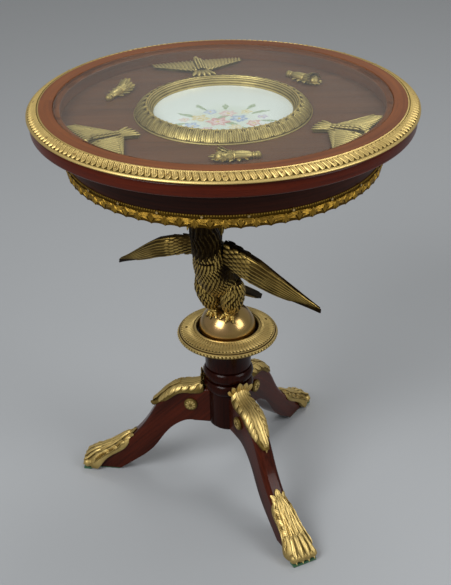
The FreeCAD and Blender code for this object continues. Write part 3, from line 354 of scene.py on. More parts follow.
class Finish:
    sockets = {"colour": "Base Color", "rough": "Roughness", "metal": "Metallic", "coat": "Coat Weight",
               "coatRough": "Coat Roughness", "normal": "Normal", "sheen": "Sheen Weight",
               "specular": "Specular IOR Level"}

    def __init__(self, name):
        self.material = bpy.data.materials.new(name)
        self.material.use_nodes = True
        self.tree = self.material.node_tree
        self.shader = self.tree.nodes["Principled BSDF"]
        self.place = self.node("ShaderNodeTexCoord", {}, {}, "Object")
        split = self.node("ShaderNodeSeparateXYZ", {}, {0: self.place}, "X").socket.node
        self.x, self.y, self.z = (Wire(self, split.outputs[axis]) for axis in "XYZ")

    def feed(self, socket, value):
        if isinstance(value, Wire):
            self.tree.links.new(value.socket, socket)
        elif socket.type == "RGBA" and len(value) == 3:
            socket.default_value = (*value, 1)
        else:
            socket.default_value = value

    def node(self, kind, settings, inputs, output=None):
        node = self.tree.nodes.new(kind)
        for key, value in settings.items():
            setattr(node, key, value)
        for key, value in inputs.items():
            places = [s for s in node.inputs if s.enabled and s.name == key]
            self.feed(node.inputs[key] if isinstance(key, int) else places[0], value)
        shown = [s for s in node.outputs if s.enabled and (output is None or s.name == output)]
        return Wire(self, shown[0])

    def maths(self, kind, *values):
        return self.node("ShaderNodeMath", {"operation": kind}, dict(enumerate(values)))

    def clamped(self, value):
        return self.node("ShaderNodeClamp", {}, {"Value": value})

    def mix(self, share, first, second):
        return self.node("ShaderNodeMix", {"data_type": "RGBA"}, {"Factor": share, "A": first, "B": second})

    def noise(self, place, scale, detail=3.0, rough=0.5):
        return self.node("ShaderNodeTexNoise", {},
                         {"Vector": place, "Scale": scale, "Detail": detail, "Roughness": rough})

    def spread(self, value, low, high):
        # a smooth step from 0 at low to 1 at high
        return self.node("ShaderNodeMapRange", {"interpolation_type": "SMOOTHSTEP"},
                         {"Value": value, "From Min": low, "From Max": high})

    def vector(self, x, y, z):
        return self.node("ShaderNodeCombineXYZ", {}, {"X": x, "Y": y, "Z": z})

    def distance(self, x, y):
        flat = self.vector(x, y, 0.0)
        return self.node("ShaderNodeVectorMath", {"operation": "LENGTH"}, {0: flat}, "Value")

    def bump(self, height, strength, distance):
        return self.node("ShaderNodeBump", {},
                         {"Height": height, "Strength": strength, "Distance": distance})

    def set(self, **values):
        for key, value in values.items():
            self.feed(self.shader.inputs[self.sockets[key]], value)
        return self.material


# woods and metals

def mahogany(name, look):
    # grain runs round a ring, up a column, along a board or down a leg
    finish = Finish(name)
    x, y, z = finish.x, finish.y, finish.z
    if look["grain"] == "ring":
        along, across, thick = finish.maths("ARCTAN2", y, x) * look["radius"], finish.distance(x, y), z
    elif look["grain"] == "upright":
        along, across, thick = z, x, y
    elif look["grain"] == "leg":
        out = heading(look["azimuth"])
        outward = x * out.x + y * out.y
        along, across, thick = (outward - z) * 0.7, (outward + z) * 0.7, y * out.x - x * out.y
    else:
        along, across, thick = x, y, z
    streaks = finish.noise(finish.vector(along * 7, across * 260, thick * 260), 1.0, 4.0, 0.6)
    figure = finish.noise(finish.vector(along * 5, across * 38, thick * 38), 1.0, 2.0)
    fine = finish.noise(finish.vector(along * 90, across * 1500, thick * 1500), 1.0, 1.0)
    pores = finish.spread(fine, 0.6, 0.75)
    share = finish.clamped(0.5 + (streaks - 0.5) * 1.5 + (figure - 0.5) * 1.3)
    wood = finish.mix(share, look["dark"], look["light"])
    wood = finish.mix(pores * 0.55, wood, look["pore"])
    # a lighter line along the top edge above a height: partly edge wear, partly painted highlight
    if "edgeWearAndHighlight" in look:
        low, high, colour = look["edgeWearAndHighlight"]
        lighterShare = finish.spread(z, low, high) * (0.55 + finish.noise(finish.place, 6.0) * 0.2)
        wood = finish.mix(finish.clamped(lighterShare), wood, colour)
    handled = finish.noise(finish.place, 18.0, 2.0)
    return finish.set(colour=wood, rough=look["rough"] + streaks * 0.08 + handled * 0.1, coat=look["coat"],
                      coatRough=look["coatRough"], specular=look["specular"],
                      normal=finish.bump(streaks - pores * 0.6, 0.05, 0.0004))


def gilding(name, look):
    # bright on the ribs, brown in the hollows, with duller patches
    finish = Finish(name)
    relief = finish.node("ShaderNodeAttribute", {"attribute_name": "relief"}, {}, "Fac")
    cloud = finish.noise(finish.place, look["cloud"], 3.0)
    grit = finish.noise(finish.place, 700.0, 2.0)
    lighterShare = finish.spread(relief + (cloud - 0.5) * 0.5 + (grit - 0.5) * 0.35, look["from"], look["to"])
    metal = finish.mix(lighterShare, look["deep"], look["bright"])
    dull = finish.spread(finish.noise(finish.place, look["cloud"] * 0.6, 4.0), 0.5, 0.75)
    metal = finish.mix(dull * look["dullShare"], metal, look["dull"])
    return finish.set(colour=metal, metal=1.0, rough=look["rough"] + 0.2 - lighterShare * 0.2 + dull * 0.1,
                      normal=finish.bump(grit + cloud * 0.5, look["bump"], 0.0005))


gilt = gilding("antiqueGilt", {
    "bright": (0.66, 0.495, 0.19), "deep": (0.15, 0.10, 0.026), "dull": (0.36, 0.27, 0.095),
    "dullShare": 0.45, "cloud": 45.0, "from": 0.1, "to": 0.8, "rough": 0.46, "bump": 0.2})
borderGilt = gilding("borderGilt", {
    "bright": (0.38, 0.23, 0.036), "deep": (0.085, 0.046, 0.006), "dull": (0.20, 0.115, 0.018),
    "dullShare": 0.4, "cloud": 45.0, "from": 0.1, "to": 0.8, "rough": 0.42, "bump": 0.16})
bronze = gilding("eagleBronze", {
    "bright": (0.52, 0.36, 0.10), "deep": (0.016, 0.009, 0.003), "dull": (0.10, 0.062, 0.016),
    "dullShare": 0.65, "cloud": 38.0, "from": 0.25, "to": 1.0, "rough": 0.38, "bump": 0.2})
topWood = mahogany("ringMahogany", {
    "grain": "ring", "radius": 0.275, "dark": (0.100, 0.026, 0.0045), "light": (0.205, 0.062, 0.012),
    "pore": (0.05, 0.013, 0.004), "rough": 0.28, "coat": 0.05, "coatRough": 0.1, "specular": 0.22})
edgeWood = mahogany("mouldingMahogany", {
    "grain": "ring", "radius": 0.3, "dark": (0.036, 0.0035, 0.0006), "light": (0.088, 0.0105, 0.0016),
    "pore": (0.02, 0.003, 0.001), "rough": 0.2, "coat": 0.05, "coatRough": 0.06, "specular": 0.13,
    # the lighter top edge line is partly edge wear, partly painted highlight
    "edgeWearAndHighlight": (0.7248, 0.7268, (0.30, 0.12, 0.05))})
# a darker copy of the mahogany: painted shade under the overhanging rim
drumShadedWood = mahogany("drumMahoganyShaded", {
    "grain": "ring", "radius": 0.25, "dark": (0.009, 0.0020, 0.0007), "light": (0.036, 0.0075, 0.0025),
    "pore": (0.006, 0.0014, 0.0006), "rough": 0.24, "coat": 0.03, "coatRough": 0.08, "specular": 0.09})
# a darker copy of the mahogany: painted shade on column and dish under the top
columnShadedWood = mahogany("columnMahoganyShaded", {
    "grain": "upright", "dark": (0.006, 0.0011, 0.0004), "light": (0.024, 0.0036, 0.0013),
    "pore": (0.004, 0.0008, 0.0004), "rough": 0.12, "coat": 0.03, "coatRough": 0.03, "specular": 0.08})
floorWood = mahogany("displayFloorVeneer", {
    "grain": "board", "dark": (0.075, 0.024, 0.008), "light": (0.165, 0.060, 0.023),
    "pore": (0.04, 0.013, 0.006), "rough": 0.4, "coat": 0.05, "coatRough": 0.15, "specular": 0.25})
plainWood = mahogany("plainWood", {
    "grain": "board", "dark": (0.28, 0.17, 0.08), "light": (0.46, 0.31, 0.16),
    "pore": (0.2, 0.12, 0.06), "rough": 0.6, "coat": 0.0, "coatRough": 0.3, "specular": 0.3})
legWoods = {name: mahogany(name + "LegMahogany", {
    "grain": "leg", "azimuth": azimuth, "dark": (0.015, 0.0024, 0.0008), "light": (0.070, 0.0105, 0.0032),
    "pore": (0.008, 0.0014, 0.0006), "rough": 0.12, "coat": 0.06, "coatRough": 0.03, "specular": 0.11})
    for name, azimuth in legAzimuths.items()}


def polishedGlobe():
    finish = Finish("globeBronze")
    patches = finish.noise(finish.place, 28.0, 3.0)
    streaks = finish.noise(finish.vector(finish.x * 60, finish.y * 60, finish.z * 9), 1.0, 3.0)
    metal = finish.mix(finish.spread(patches, 0.4, 0.65), (0.40, 0.27, 0.10), (0.45, 0.285, 0.13))
    metal = finish.mix(finish.spread(streaks, 0.5, 0.7) * 0.35, metal, (0.25, 0.155, 0.05))
    # painted reflection: a warmer orange towards the globe's foot
    foot = finish.spread(finish.z, 0.345, 0.322)
    metal = finish.mix(foot * 0.6, metal, (0.46, 0.28, 0.07))
    return finish.set(colour=metal, metal=1.0, rough=0.13 + patches * 0.12 + streaks * 0.08)


def plainMetal(name, colour, rough, scale):
    finish = Finish(name)
    cloud = finish.noise(finish.place, scale, 4.0)
    shade = finish.mix(finish.spread(cloud, 0.35, 0.7), colour, tuple(c * 0.55 for c in colour))
    return finish.set(colour=shade, metal=1.0, rough=rough + cloud * 0.2,
                      normal=finish.bump(cloud, 0.1, 0.0004))


def clearPane():
    # sight passes straight through, and the surface mirrors the room at a slant
    finish = Finish("clearPane")
    smears = finish.noise(finish.place, 12.0, 3.0)
    finish.set(colour=(0.86, 0.9, 0.9), metal=1.0, rough=0.02 + smears * 0.03)
    mirror = Wire(finish, finish.shader.outputs[0])
    through = finish.node("ShaderNodeBsdfTransparent", {}, {"Color": (0.96, 0.985, 0.975)})
    slant = finish.node("ShaderNodeLayerWeight", {}, {"Blend": 0.5}, "Facing")
    share = finish.clamped(0.008 + slant ** 5 * 0.9 + smears * 0.02)
    surface = finish.node("ShaderNodeMixShader", {}, {0: share, 1: through, 2: mirror})
    finish.feed(finish.tree.nodes["Material Output"].inputs["Surface"], surface)
    return finish.material


bouquet = {
    # painted flowers: x, y, size in mm, petals, turn, petal colour
    "flowers": ((-8, -52, 19, 6, 0.3, (0.74, 0.22, 0.24)), (24, -40, 16, 5, 1.1, (0.22, 0.30, 0.62)),
                (-36, -36, 15, 5, 0.8, (0.78, 0.52, 0.14)), (8, -18, 14, 6, 0.2, (0.80, 0.42, 0.42)),
                (46, -60, 13, 5, 2.0, (0.76, 0.24, 0.18)), (-48, -66, 13, 5, 0.5, (0.30, 0.38, 0.68)),
                (-20, -10, 11, 5, 1.4, (0.40, 0.44, 0.72)), (36, -12, 10, 5, 0.1, (0.82, 0.62, 0.22)),
                (18, -76, 12, 6, 0.9, (0.80, 0.58, 0.26)), (-24, -82, 11, 5, 2.4, (0.74, 0.32, 0.40)),
                (60, -34, 9, 5, 0.7, (0.52, 0.34, 0.60)), (-60, -42, 9, 6, 1.9, (0.80, 0.50, 0.44))),
    # painted leaves: x, y, half length, half width in mm, turn in degrees
    "leaves": ((-58, -22, 17, 5, 150), (58, -14, 17, 5, 25), (-34, 8, 16, 4.5, 120), (44, 10, 15, 4.5, 55),
               (4, 12, 15, 4.2, 85), (-66, -60, 14, 4.5, 195), (68, -52, 14, 4.5, -10),
               (0, -92, 13, 4, -85), (36, -84, 14, 4, -50), (-42, -88, 13, 4, 230), (-2, -34, 16, 5, 40),
               (12, -60, 15, 5, -30)),
    "leafColour": (0.24, 0.33, 0.12), "heart": (0.72, 0.50, 0.12), "glaze": (0.88, 0.885, 0.86),
    "tint": (0.78, 0.82, 0.82), "wash": (0.62, 0.66, 0.52), "washPlace": (0.0, -42.0), "washSize": 78.0,
    "wobble": 0.011}


def paintedPorcelain():
    finish = Finish("paintedPorcelain")
    look = bouquet
    wobble = finish.noise(finish.place, 120.0, 2.0)
    brush = finish.noise(finish.vector(finish.x * 1.6, finish.y, finish.z), 300.0, 4.0, 0.65)
    x = finish.x + (wobble - 0.5) * look["wobble"]
    y = finish.y + (finish.noise(finish.place, 95.0, 3.0) - 0.5) * look["wobble"]
    tint = finish.spread(finish.noise(finish.place, 9.0, 2.0), 0.35, 0.75)
    paint = finish.mix(tint * 0.2, look["glaze"], look["tint"])
    washX, washY = look["washPlace"]
    away = finish.distance(finish.x - washX * mm, finish.y - washY * mm) / (look["washSize"] * mm)
    misty = finish.spread(away + (finish.noise(finish.place, 30.0) - 0.5) * 0.8, 1.0, 0.35)
    paint = finish.mix(misty * 0.5, paint, look["wash"])
    for leafX, leafY, half, slim, degrees in look["leaves"]:
        out = heading(degrees)
        dx, dy = x - leafX * mm, y - leafY * mm
        along = (dx * out.x + dy * out.y) / (half * mm)
        across = (dy * out.x - dx * out.y) / (slim * mm)
        room = finish.maths("MAXIMUM", 1.15 - along * along, 0.05)
        inside = finish.spread(along * along + across * across / room, 1.1, 0.6)
        paint = finish.mix(finish.clamped(inside * (brush * 1.6 - 0.15)), paint, look["leafColour"])
    for flowerX, flowerY, size, petals, turn, colour in look["flowers"]:
        dx, dy = x - flowerX * mm, y - flowerY * mm
        far = finish.distance(dx, dy) / (size * mm)
        swing = finish.maths("COSINE", finish.maths("ARCTAN2", dy, dx) * petals + turn)
        edge = far - swing * 0.16
        inside = finish.spread(edge, 1.0, 0.6)
        pale = tuple(0.55 + 0.45 * c for c in colour)
        shade = finish.mix(finish.spread(edge, 0.15, 0.75), pale, colour)
        paint = finish.mix(finish.clamped(inside * (brush * 1.7 - 0.1)), paint, shade)
        paint = finish.mix(finish.spread(far, 0.3, 0.12) * 0.7, paint, look["heart"])
    return finish.set(colour=paint, rough=0.08 + wobble * 0.05, coat=0.6, coatRough=0.04)


def greenFelt():
    finish = Finish("greenFelt")
    fuzz = finish.noise(finish.place, 900.0, 4.0, 0.7)
    colour = finish.mix(fuzz, (0.006, 0.035, 0.014), (0.03, 0.13, 0.05))
    return finish.set(colour=colour, rough=0.95, sheen=0.3, normal=finish.bump(fuzz, 0.5, 0.001))


cadFinishes = (
    (drumShadedWood, ("drum_apron",)),
    (columnShadedWood, ("column", "dish")),
    (floorWood, ("display_floor",)),
    (plainWood, ("bearer_long", "bearer_cross", "glue_blocks", "leg_dowels")),
    (polishedGlobe(), ("globe",)),
    (clearPane(), ("glass_top",)),
    (paintedPorcelain(), ("porcelain_plaque",)),
    (plainMetal("blackIron", (0.05, 0.05, 0.055), 0.45, 90.0),
     ("mounting_plate", "spider_brace", "tie_rod", "rod_washer", "rod_nut")),
    (plainMetal("screwSteel", (0.42, 0.42, 0.43), 0.3, 300.0),
     ("plaque_frame_screws", "bearer_screws", "plate_screws", "flange_screws", "wing_screws",
      "spider_screws")),
    (plainMetal("pinBrass", (0.62, 0.45, 0.19), 0.3, 300.0), ("band_pins", "border_pins", "mount_pins")),
    *((finish, ("leg_" + name,)) for name, finish in legWoods.items()))
for finish, names in cadFinishes:
    for name in names:
        nodes[name].material_slots[0].material = finish
print("finishes set on", sum(len(names) for _, names in cadFinishes), "CAD nodes")

# the rounded rail under the rim, spun finely

rail = {"inner": 290.05, "outer": 300.95, "low": 706.05, "top": 726.95, "round": 4.0, "steps": 6,
        "spin": 288}


def makeRail():
    inner, outer, low, top, bend = (rail[key] for key in ("inner", "outer", "low", "top", "round"))
    profile = [(inner, low, 0.0)]
    for middle, start in ((low + bend, -90), (top - bend, 0)):
        for n in range(rail["steps"] + 1):
            angle = math.radians(start + 90 * n / rail["steps"])
            profile.append((outer - bend + bend * math.cos(angle), middle + bend * math.sin(angle), 0.0))
    profile.append((inner, top, 0.0))
    dressed(spunRing("edgeRail", profile, rail["spin"]), edgeWood, ("edge_moulding",))


makeRail()

# the flat ring round the pane, with its rebate

displayRing = {
    "profile": ((252.5, 716.02, 0), (289.95, 716.02, 0), (289.95, 729.0, 0), (302.3, 729.02, 0),
                (284.95, 737.4, 0), (284.95, 739.6, 0), (284.5, 740.0, 0), (264.3, 740.0, 0),
                (263.6, 739.4, 0), (263.5, 735.0, 0), (253.3, 735.0, 0), (252.6, 734.6, 0)),
    "spin": 288}
ring = spunRing("displayRing", displayRing["profile"], displayRing["spin"])
dressed(ring, topWood, ("top_ring",))

# the gilt band on the sloping rim: leaning tongues between two plain edges

topBand = {
    "profile": ((285.0, 739.8, 0.9), (287.0, 739.4, 0.95), (287.7, 737.6, 0.1), (295.0, 734.9, 0.0),
                (301.4, 731.9, 0.1), (302.2, 732.4, 0.9), (304.3, 731.2, 1.0), (304.9, 730.2, 0.8),
                (304.9, 729.1, 0.5), (302.6, 729.1, 0.1), (285.1, 737.4, 0.0)),
    "count": 192, "spin": 192, "start": 287.8, "level": 738.0, "tilt": 24.0,
    "tongue": {"rows": ((0, 3.4, 0.3, -1.6), (-3, 4.3, 0.6, -1.3), (-7, 4.4, 0.6, 0.2),
                        (-11, 3.8, 0.5, 1.5), (-14.6, 1.4, 0.0, 1.0)),
               "folds": (0.0, 1.3, 0.4, 1.1, 0.4, 1.3, 0.0), "thick": 0.7}}


def makeTopBand():
    tongue = leaf("tongue", topBand["tongue"])
    tilt = Matrix.Rotation(math.radians(topBand["tilt"]), 4, "X")
    tongue.data.transform(moved(0, 0, topBand["level"]) @ tilt)
    tongues = ringOf("tongues", tongue, topBand["count"], topBand["start"])
    base = spunRing("bandRing", topBand["profile"], topBand["spin"])
    dressed(joined("topGiltBand", [base, tongues]), gilt, ("top_gilt_band",))


makeTopBand()

# the border round the drum: palmettes between lying leaf sprays, a row of teeth above

drumBorder = {
    "count": 36, "radius": 249.9, "middle": 646.0, "half": 21.77,
    "plate": {"top": 11.3, "low": -11.2, "scallop": 2.4, "steps": 16, "folds": (0.0, 0.0, 0.0),
              "thick": 1.2, "floor": 0.1},
    "lobe": {"rows": ((0, 0.8, 0.3), (4, 1.5, 0.9), (8, 2.0, 1.1), (11, 1.6, 0.9), (12.5, 0.5, 0.4)),
             "folds": (0.0, 0.8, 0.2, 0.8, 0.0), "thick": 0.8},
    "spray": {"rows": ((0, 1.0, 0.4, 0), (3, 2.6, 1.0, 0.3), (5, 2.2, 1.1, 0.8), (8, 3.6, 1.2, 1.6),
                       (10, 2.8, 1.2, 2.2), (13, 3.2, 1.2, 2.4), (15, 2.0, 1.0, 2.0),
                       (18.5, 0.6, 0.5, 0.4)),
              "folds": (0.0, 0.8, 0.2, 1.1, 0.2, 0.8, 0.0), "thick": 0.8},
    # lobes of the palmette and of the ribs between: turn, size
    "fan": ((-68, 0.72), (-46, 0.86), (-23, 0.98), (0, 1.05), (23, 0.98), (46, 0.86), (68, 0.72)),
    "ribs": ((-26, 0.85), (0, 1.1), (26, 0.85)), "heart": 3.5, "ribFoot": -7.5, "knob": (1.6, 1.0),
    # lying sprays on either side: x, y, turn, size, lift
    "upperSpray": (3, 2.5, -78, 1.0, 0.3), "lowerSpray": (5, -1.0, -112, 0.72, 0.0),
    "teeth": 11, "toothHeight": 10.0, "toothLift": 0.4, "tooth": 1.35}


def flatPlaced(pattern, x, y, turn, size=1.0, lift=0.0):
    return copyOf(pattern, moved(x, y, lift) @ turnedTo(turn) @ Matrix.Scale(size, 4))


def borderPlate(look, half):
    # a thin strip, straight above and scalloped below
    rows = []
    for n in range(look["steps"] + 1):
        x = blend((-half, half), n / look["steps"])
        low = look["low"] + look["scallop"] * abs(math.sin(math.pi * x / half)) ** 0.6
        rows.append((x, (look["top"] - low) / 2, 0.0, -(look["top"] + low) / 2))
    plate = leaf("borderPlate", dict(look, rows=rows))
    plate.data.transform(turnedTo(-90))
    return plate


def makeDrumBorder():
    look = drumBorder
    half, heart = look["half"], look["heart"]
    lobe, spray = leaf("lobe", look["lobe"]), leaf("spray", look["spray"])
    mirrored = [(along, wide, lift, -shift) for along, wide, lift, shift in look["spray"]["rows"]]
    otherSpray = leaf("otherSpray", dict(look["spray"], rows=mirrored))
    tooth = bead("tooth", look["tooth"], (1, 1.1, 0.9), 1)
    parts = [borderPlate(look["plate"], half)]
    parts += [flatPlaced(lobe, 0, heart, 180 + turn, size) for turn, size in look["fan"]]
    parts += [flatPlaced(lobe, half, look["ribFoot"], turn, size) for turn, size in look["ribs"]]
    for key, right, left in (("upperSpray", spray, otherSpray), ("lowerSpray", otherSpray, spray)):
        x, y, turn, size, lift = look[key]
        parts += [flatPlaced(right, x, y, turn, size, lift), flatPlaced(left, -x, y, -turn, size, lift)]
    parts.append(flatPlaced(tooth, 0, heart, 0, *look["knob"]))
    for n in range(look["teeth"]):
        x = blend((-half, half), (n + 0.5) / look["teeth"])
        parts.append(flatPlaced(tooth, x, look["toothHeight"], 0, 1, look["toothLift"]))
    discard(lobe, spray, otherSpray, tooth)
    unit = joined("borderUnit", parts)
    unit.data.transform(moved(0, 0, look["middle"]) @ Matrix.Rotation(math.radians(90), 4, "X"))
    border = ringOf("drumGiltBorder", unit, look["count"], look["radius"])
    dressed(border, borderGilt, ("drum_gilt_border",))


makeDrumBorder()

# the frame round the plaque: leaves up the outer slope, beads on the crest, three steps inside

plaqueFrame = {
    "profile": ((113.4, 716.05, 0.0), (139.9, 716.05, 0.2), (139.9, 717.2, 0.7), (138.8, 718.2, 0.9),
                (138.0, 718.0, 0.1), (135.5, 721.6, 0.05), (131.0, 726.2, 0.05), (126.0, 729.6, 0.05),
                (121.8, 731.2, 0.1), (120.4, 732.7, 0.9), (118.7, 732.7, 0.95), (117.8, 731.0, 0.15),
                (116.6, 730.6, 0.85), (115.6, 728.8, 0.1), (114.3, 728.0, 0.8), (113.2, 725.8, 0.1),
                (112.0, 724.8, 0.75), (110.6, 722.2, 0.15), (109.3, 721.0, 0.9), (109.1, 719.1, 0.4),
                (113.4, 719.05, 0.0)),
    "count": 40, "radius": 138.0, "spin": 160,
    "leaf": {"rows": ((138.2, 7.4, 719.4), (136.6, 9.9, 722.2), (134.6, 8.6, 724.4), (132.4, 10.3, 726.7),
                      (130.4, 8.8, 728.2), (128.0, 9.8, 730.0), (126.0, 8.0, 731.0), (123.6, 8.4, 732.2),
                      (121.6, 5.2, 733.0), (119.6, 1.4, 733.4)),
             "folds": (0.0, 0.7, 0.1, 0.8, 0.2, 1.2, 0.2, 0.8, 0.1, 0.7, 0.0), "thick": 1.0},
    "dart": {"rows": ((137.6, 1.4, 720.2), (133.0, 2.8, 725.9), (129.0, 2.6, 729.3), (124.6, 0.8, 731.6)),
             "folds": (0.0, 1.0, 0.0), "thick": 1.0},
    "beads": 80, "beadRadius": 1.3, "beadPlace": (119.4, 732.9)}


def makePlaqueFrame():
    look = plaqueFrame
    count, radius = look["count"], look["radius"]
    leaves = ringOf("frameLeaves", ringLeaf("frameLeaf", look["leaf"], radius), count, radius)
    darts = ringOf("frameDarts", ringLeaf("frameDart", look["dart"], radius), count, radius)
    darts.data.transform(turnedTo(180 / count))
    beads = beadRing("frameBeads", look["beads"], look["beadRadius"], look["beadPlace"])
    base = spunRing("frameRing", look["profile"], look["spin"])
    dressed(joined("plaqueGiltFrame", [base, leaves, darts, beads]), gilt, ("plaque_frame",))


makePlaqueFrame()

# spread eagles and torches laid on the display floor

feather = {"rows": ((0, 1.4, 0.2), (5, 2.6, 0.8), (11, 3.0, 1.0), (16, 2.6, 0.9), (19, 1.4, 0.5),
                    (20, 0.3, 0.2)),
           "folds": (0.0, 0.4, 1.0, 0.4, 0.0), "thick": 0.8}
featherLength = feather["rows"][-1][0]
floorEagles = {
    "azimuths": (101.0, -147.0, -29.0), "reach": 205.0, "level": 719.5, "depth": 84.0, "half": 76.0,
    # rows of wing feathers: span and leading edge as shares of half and depth, fan in degrees
    "flights": {"count": 11, "span": (0.13, 0.94), "lead": (-0.24, 0.16), "fan": (0, 14), "length": 1.0,
                "lift": 0.2},
    "coverts": {"count": 9, "span": (0.12, 0.92), "lead": (-0.27, 0.14), "fan": (35, 55), "length": 0.45,
                "lift": 1.0},
    "trail": 0.4,
    "tail": {"root": -0.22, "pitch": 3.0, "fan": 13, "length": 0.36, "lift": 0.6},
    "breast": {"rows": ((0, 2.4, 0.3), (4, 4.2, 1.0), (8, 4.2, 1.4), (11, 2.8, 1.3), (13, 0.8, 0.9)),
               "folds": (0.0, 0.5, 1.2, 0.5, 0.0), "thick": 0.9},
    "scales": {"rows": 6, "root": 0.3, "step": 0.085, "pitch": 3.6, "fan": 9, "size": 11 / 13,
               "heights": (3.5, 7.0, 8.6, 7.0, 3.5), "taper": 0.08},
    "head": 5.0, "headPlace": (0.44, 3.0)}


def makeFloorEagle(number, azimuth):
    look = floorEagles
    deep, half, level = look["depth"], look["half"], look["level"]
    turn = turnedTo(azimuth) @ moved(look["reach"], 0, 0)
    quill, breast = leaf("quill", feather), leaf("breast", look["breast"])
    node = "eagle_mount_%d" % number
    parts = [cadBase(node, "mountPlate", 0.1)]

    def laid(pattern, x, y, degrees, size, lift):
        piece = stood(pattern, at(x, y, level + lift), heading(degrees), up, size)
        piece.data.transform(turn)
        parts.append(piece)

    for side in (1, -1):
        for row in (look["flights"], look["coverts"]):
            for n in range(row["count"]):
                share = n / (row["count"] - 1)
                lead = deep * blend(row["lead"], share)
                size = row["length"] * (deep * look["trail"] - lead) / featherLength
                y = side * half * blend(row["span"], share)
                laid(quill, lead, y, side * blend(row["fan"], share), size, row["lift"])
    tail, scales = look["tail"], look["scales"]
    for n in range(-2, 3):
        size = tail["length"] * deep / featherLength
        laid(quill, tail["root"] * deep, n * tail["pitch"], 180 - n * tail["fan"], size, tail["lift"])
    for row in range(scales["rows"]):
        x = (scales["root"] - scales["step"] * row) * deep
        for n, height in enumerate(scales["heights"], -2):
            lift = height * (1 - scales["taper"] * row)
            laid(breast, x, n * scales["pitch"], 180 - n * scales["fan"], scales["size"], lift)
    head = bead("mountHead", look["head"], (1.2, 0.9, 0.9))
    along, lift = look["headPlace"]
    head.data.transform(turn @ moved(along * deep, 0, level + lift))
    discard(quill, breast)
    dressed(joined("floorEagle%d" % number, parts + [head]), gilt, (node,))


for number, azimuth in enumerate(floorEagles["azimuths"], 1):
    makeFloorEagle(number, azimuth)

floorTorches = {
    "azimuths": (154.0, 46.0, -84.0), "reach": 190.0, "middle": 720.0,
    "bands": ((22, 4.6), (-6, 7.6)), "bandThick": 1.0,
    "leaf": {"rows": ((0, 2.0, 0.2), (4, 4.2, 0.9), (8, 4.0, 1.1), (12, 4.8, 1.2), (16, 3.6, 1.0),
                      (19, 2.0, 0.6), (20.5, 0.5, 0.2)),
             "folds": (0.0, 0.6, 0.2, 1.1, 0.2, 0.6, 0.0), "thick": 0.9},
    "ribs": {"count": 7, "size": 1.3, "reach": 6.6, "start": -6},
    # leaves round the head: place along, tip lean, how many, size
    "tufts": ((-6, 0.25, 6, 1.0), (-13, 0.5, 7, 0.95), (-19, 0.8, 6, 0.85)),
    # leaves spread on the floor on both sides: place along, heading, size
    "sprays": ((0, 78, 0.8), (-8, 60, 0.85), (-15, 44, 0.85), (-22, 28, 0.8), (-27, 10, 0.7), (9, 96, 0.6)),
    "sprayRoot": (3, -2.0)}


def overTorch(share):
    # outwards from the torch's axis, from one side of its upper half to the other
    angle = math.pi * share
    return Vector((math.cos(angle), 0, math.sin(angle)))


def makeFloorTorch(number, azimuth):
    look = floorTorches
    turn = turnedTo(azimuth) @ moved(look["reach"], 0, look["middle"])
    node = "torch_mount_%d" % number
    core = cadBase(node, "torchCore", 0.45)
    parts = []
    for y, radius in look["bands"]:
        deselectAll()
        bpy.ops.mesh.primitive_torus_add(major_segments=24, minor_segments=8, major_radius=radius * mm,
                                         minor_radius=look["bandThick"] * mm, rotation=(math.pi / 2, 0, 0))
        band = paintEvenly(named("torchBand"), 1.0)
        bpy.ops.object.transform_apply(location=True, rotation=True, scale=True)
        band.data.transform(moved(0, y, 0))
        parts.append(band)
    quill, frond = leaf("torchRib", feather), leaf("torchLeaf", look["leaf"])
    ribs = look["ribs"]
    for n in range(ribs["count"]):
        out = overTorch((n + 0.5) / ribs["count"])
        root = out * ribs["reach"] * mm + at(0, ribs["start"], 0)
        parts.append(stood(quill, root, Vector((0, 1, 0)) - out * 0.1, out, ribs["size"]))
    for y, lean, count, size in look["tufts"]:
        for n in range(count):
            out = overTorch((n + 0.5) / count + 0.25 * math.sin(7.0 * n + y) / math.pi)
            root = out * (5.6 - 0.12 * y) * mm + at(0, y, 0)
            way = Vector((0, -1, 0)) + out * lean * (1.0 + 0.3 * math.sin(5.0 * n + y))
            parts.append(stood(frond, root, way, out, size * (0.75 + 0.12 * math.sin(3.0 * n))))
    aside, low = look["sprayRoot"]
    for side in (1, -1):
        for y, spread, size in look["sprays"]:
            way = heading(-90 + side * spread * (1.0 + 0.12 * side)) + 0.1 * up
            parts.append(stood(frond, at(side * aside, y, low), way, up, size * (1.0 - 0.1 * side)))
    discard(quill, frond)
    for part in parts:
        part.data.transform(turn)
    dressed(joined("floorTorch%d" % number, [core] + parts), gilt, (node,))


for number, azimuth in enumerate(floorTorches["azimuths"], 1):
    makeFloorTorch(number, azimuth)

# the ornament ring and bead on the dish

dishOrnament = {
    "profile": ((54.6, 316.05, 0.0), (82.4, 316.05, 0.1), (82.4, 317.6, 0.6), (81.1, 318.2, 0.9),
                (80.3, 317.6, 0.1), (73.6, 319.0, 0.05), (66.5, 320.8, 0.05), (60.0, 323.0, 0.05),
                (58.4, 323.6, 0.1), (57.4, 324.8, 0.95), (54.7, 324.8, 0.9)),
    "count": 84, "radius": 79.5, "spin": 128,
    "leaf": {"rows": ((58.8, 1.9, 323.7, -0.8), (61.5, 2.7, 323.1, 0.2), (64.5, 2.2, 322.1, 0.8),
                      (67.5, 2.9, 321.2, 0.2), (71.5, 2.5, 320.1, -0.7), (75.5, 2.9, 319.1, -0.4),
                      (78.6, 2.0, 318.4, 0.6), (80.1, 0.6, 318.0, 0.8)),
             "folds": (0.0, 0.5, 0.1, 0.7, 0.1, 0.5, 0.0), "thick": 0.8, "floor": 0.3},
    "pins": (18, 180), "pinPlace": (71.0, 321.4), "pin": 2.3,
    "bead": ((84.05, 308.1, 0.1), (85.6, 308.7, 0.3), (86.4, 310.2, 0.2), (86.6, 312.0, 0.1),
             (86.4, 313.8, 0.2), (85.6, 315.3, 0.6), (84.05, 315.9, 0.8)),
    "pearls": 84, "pearl": 2.45, "pearlPlace": (85.3, 312.0)}


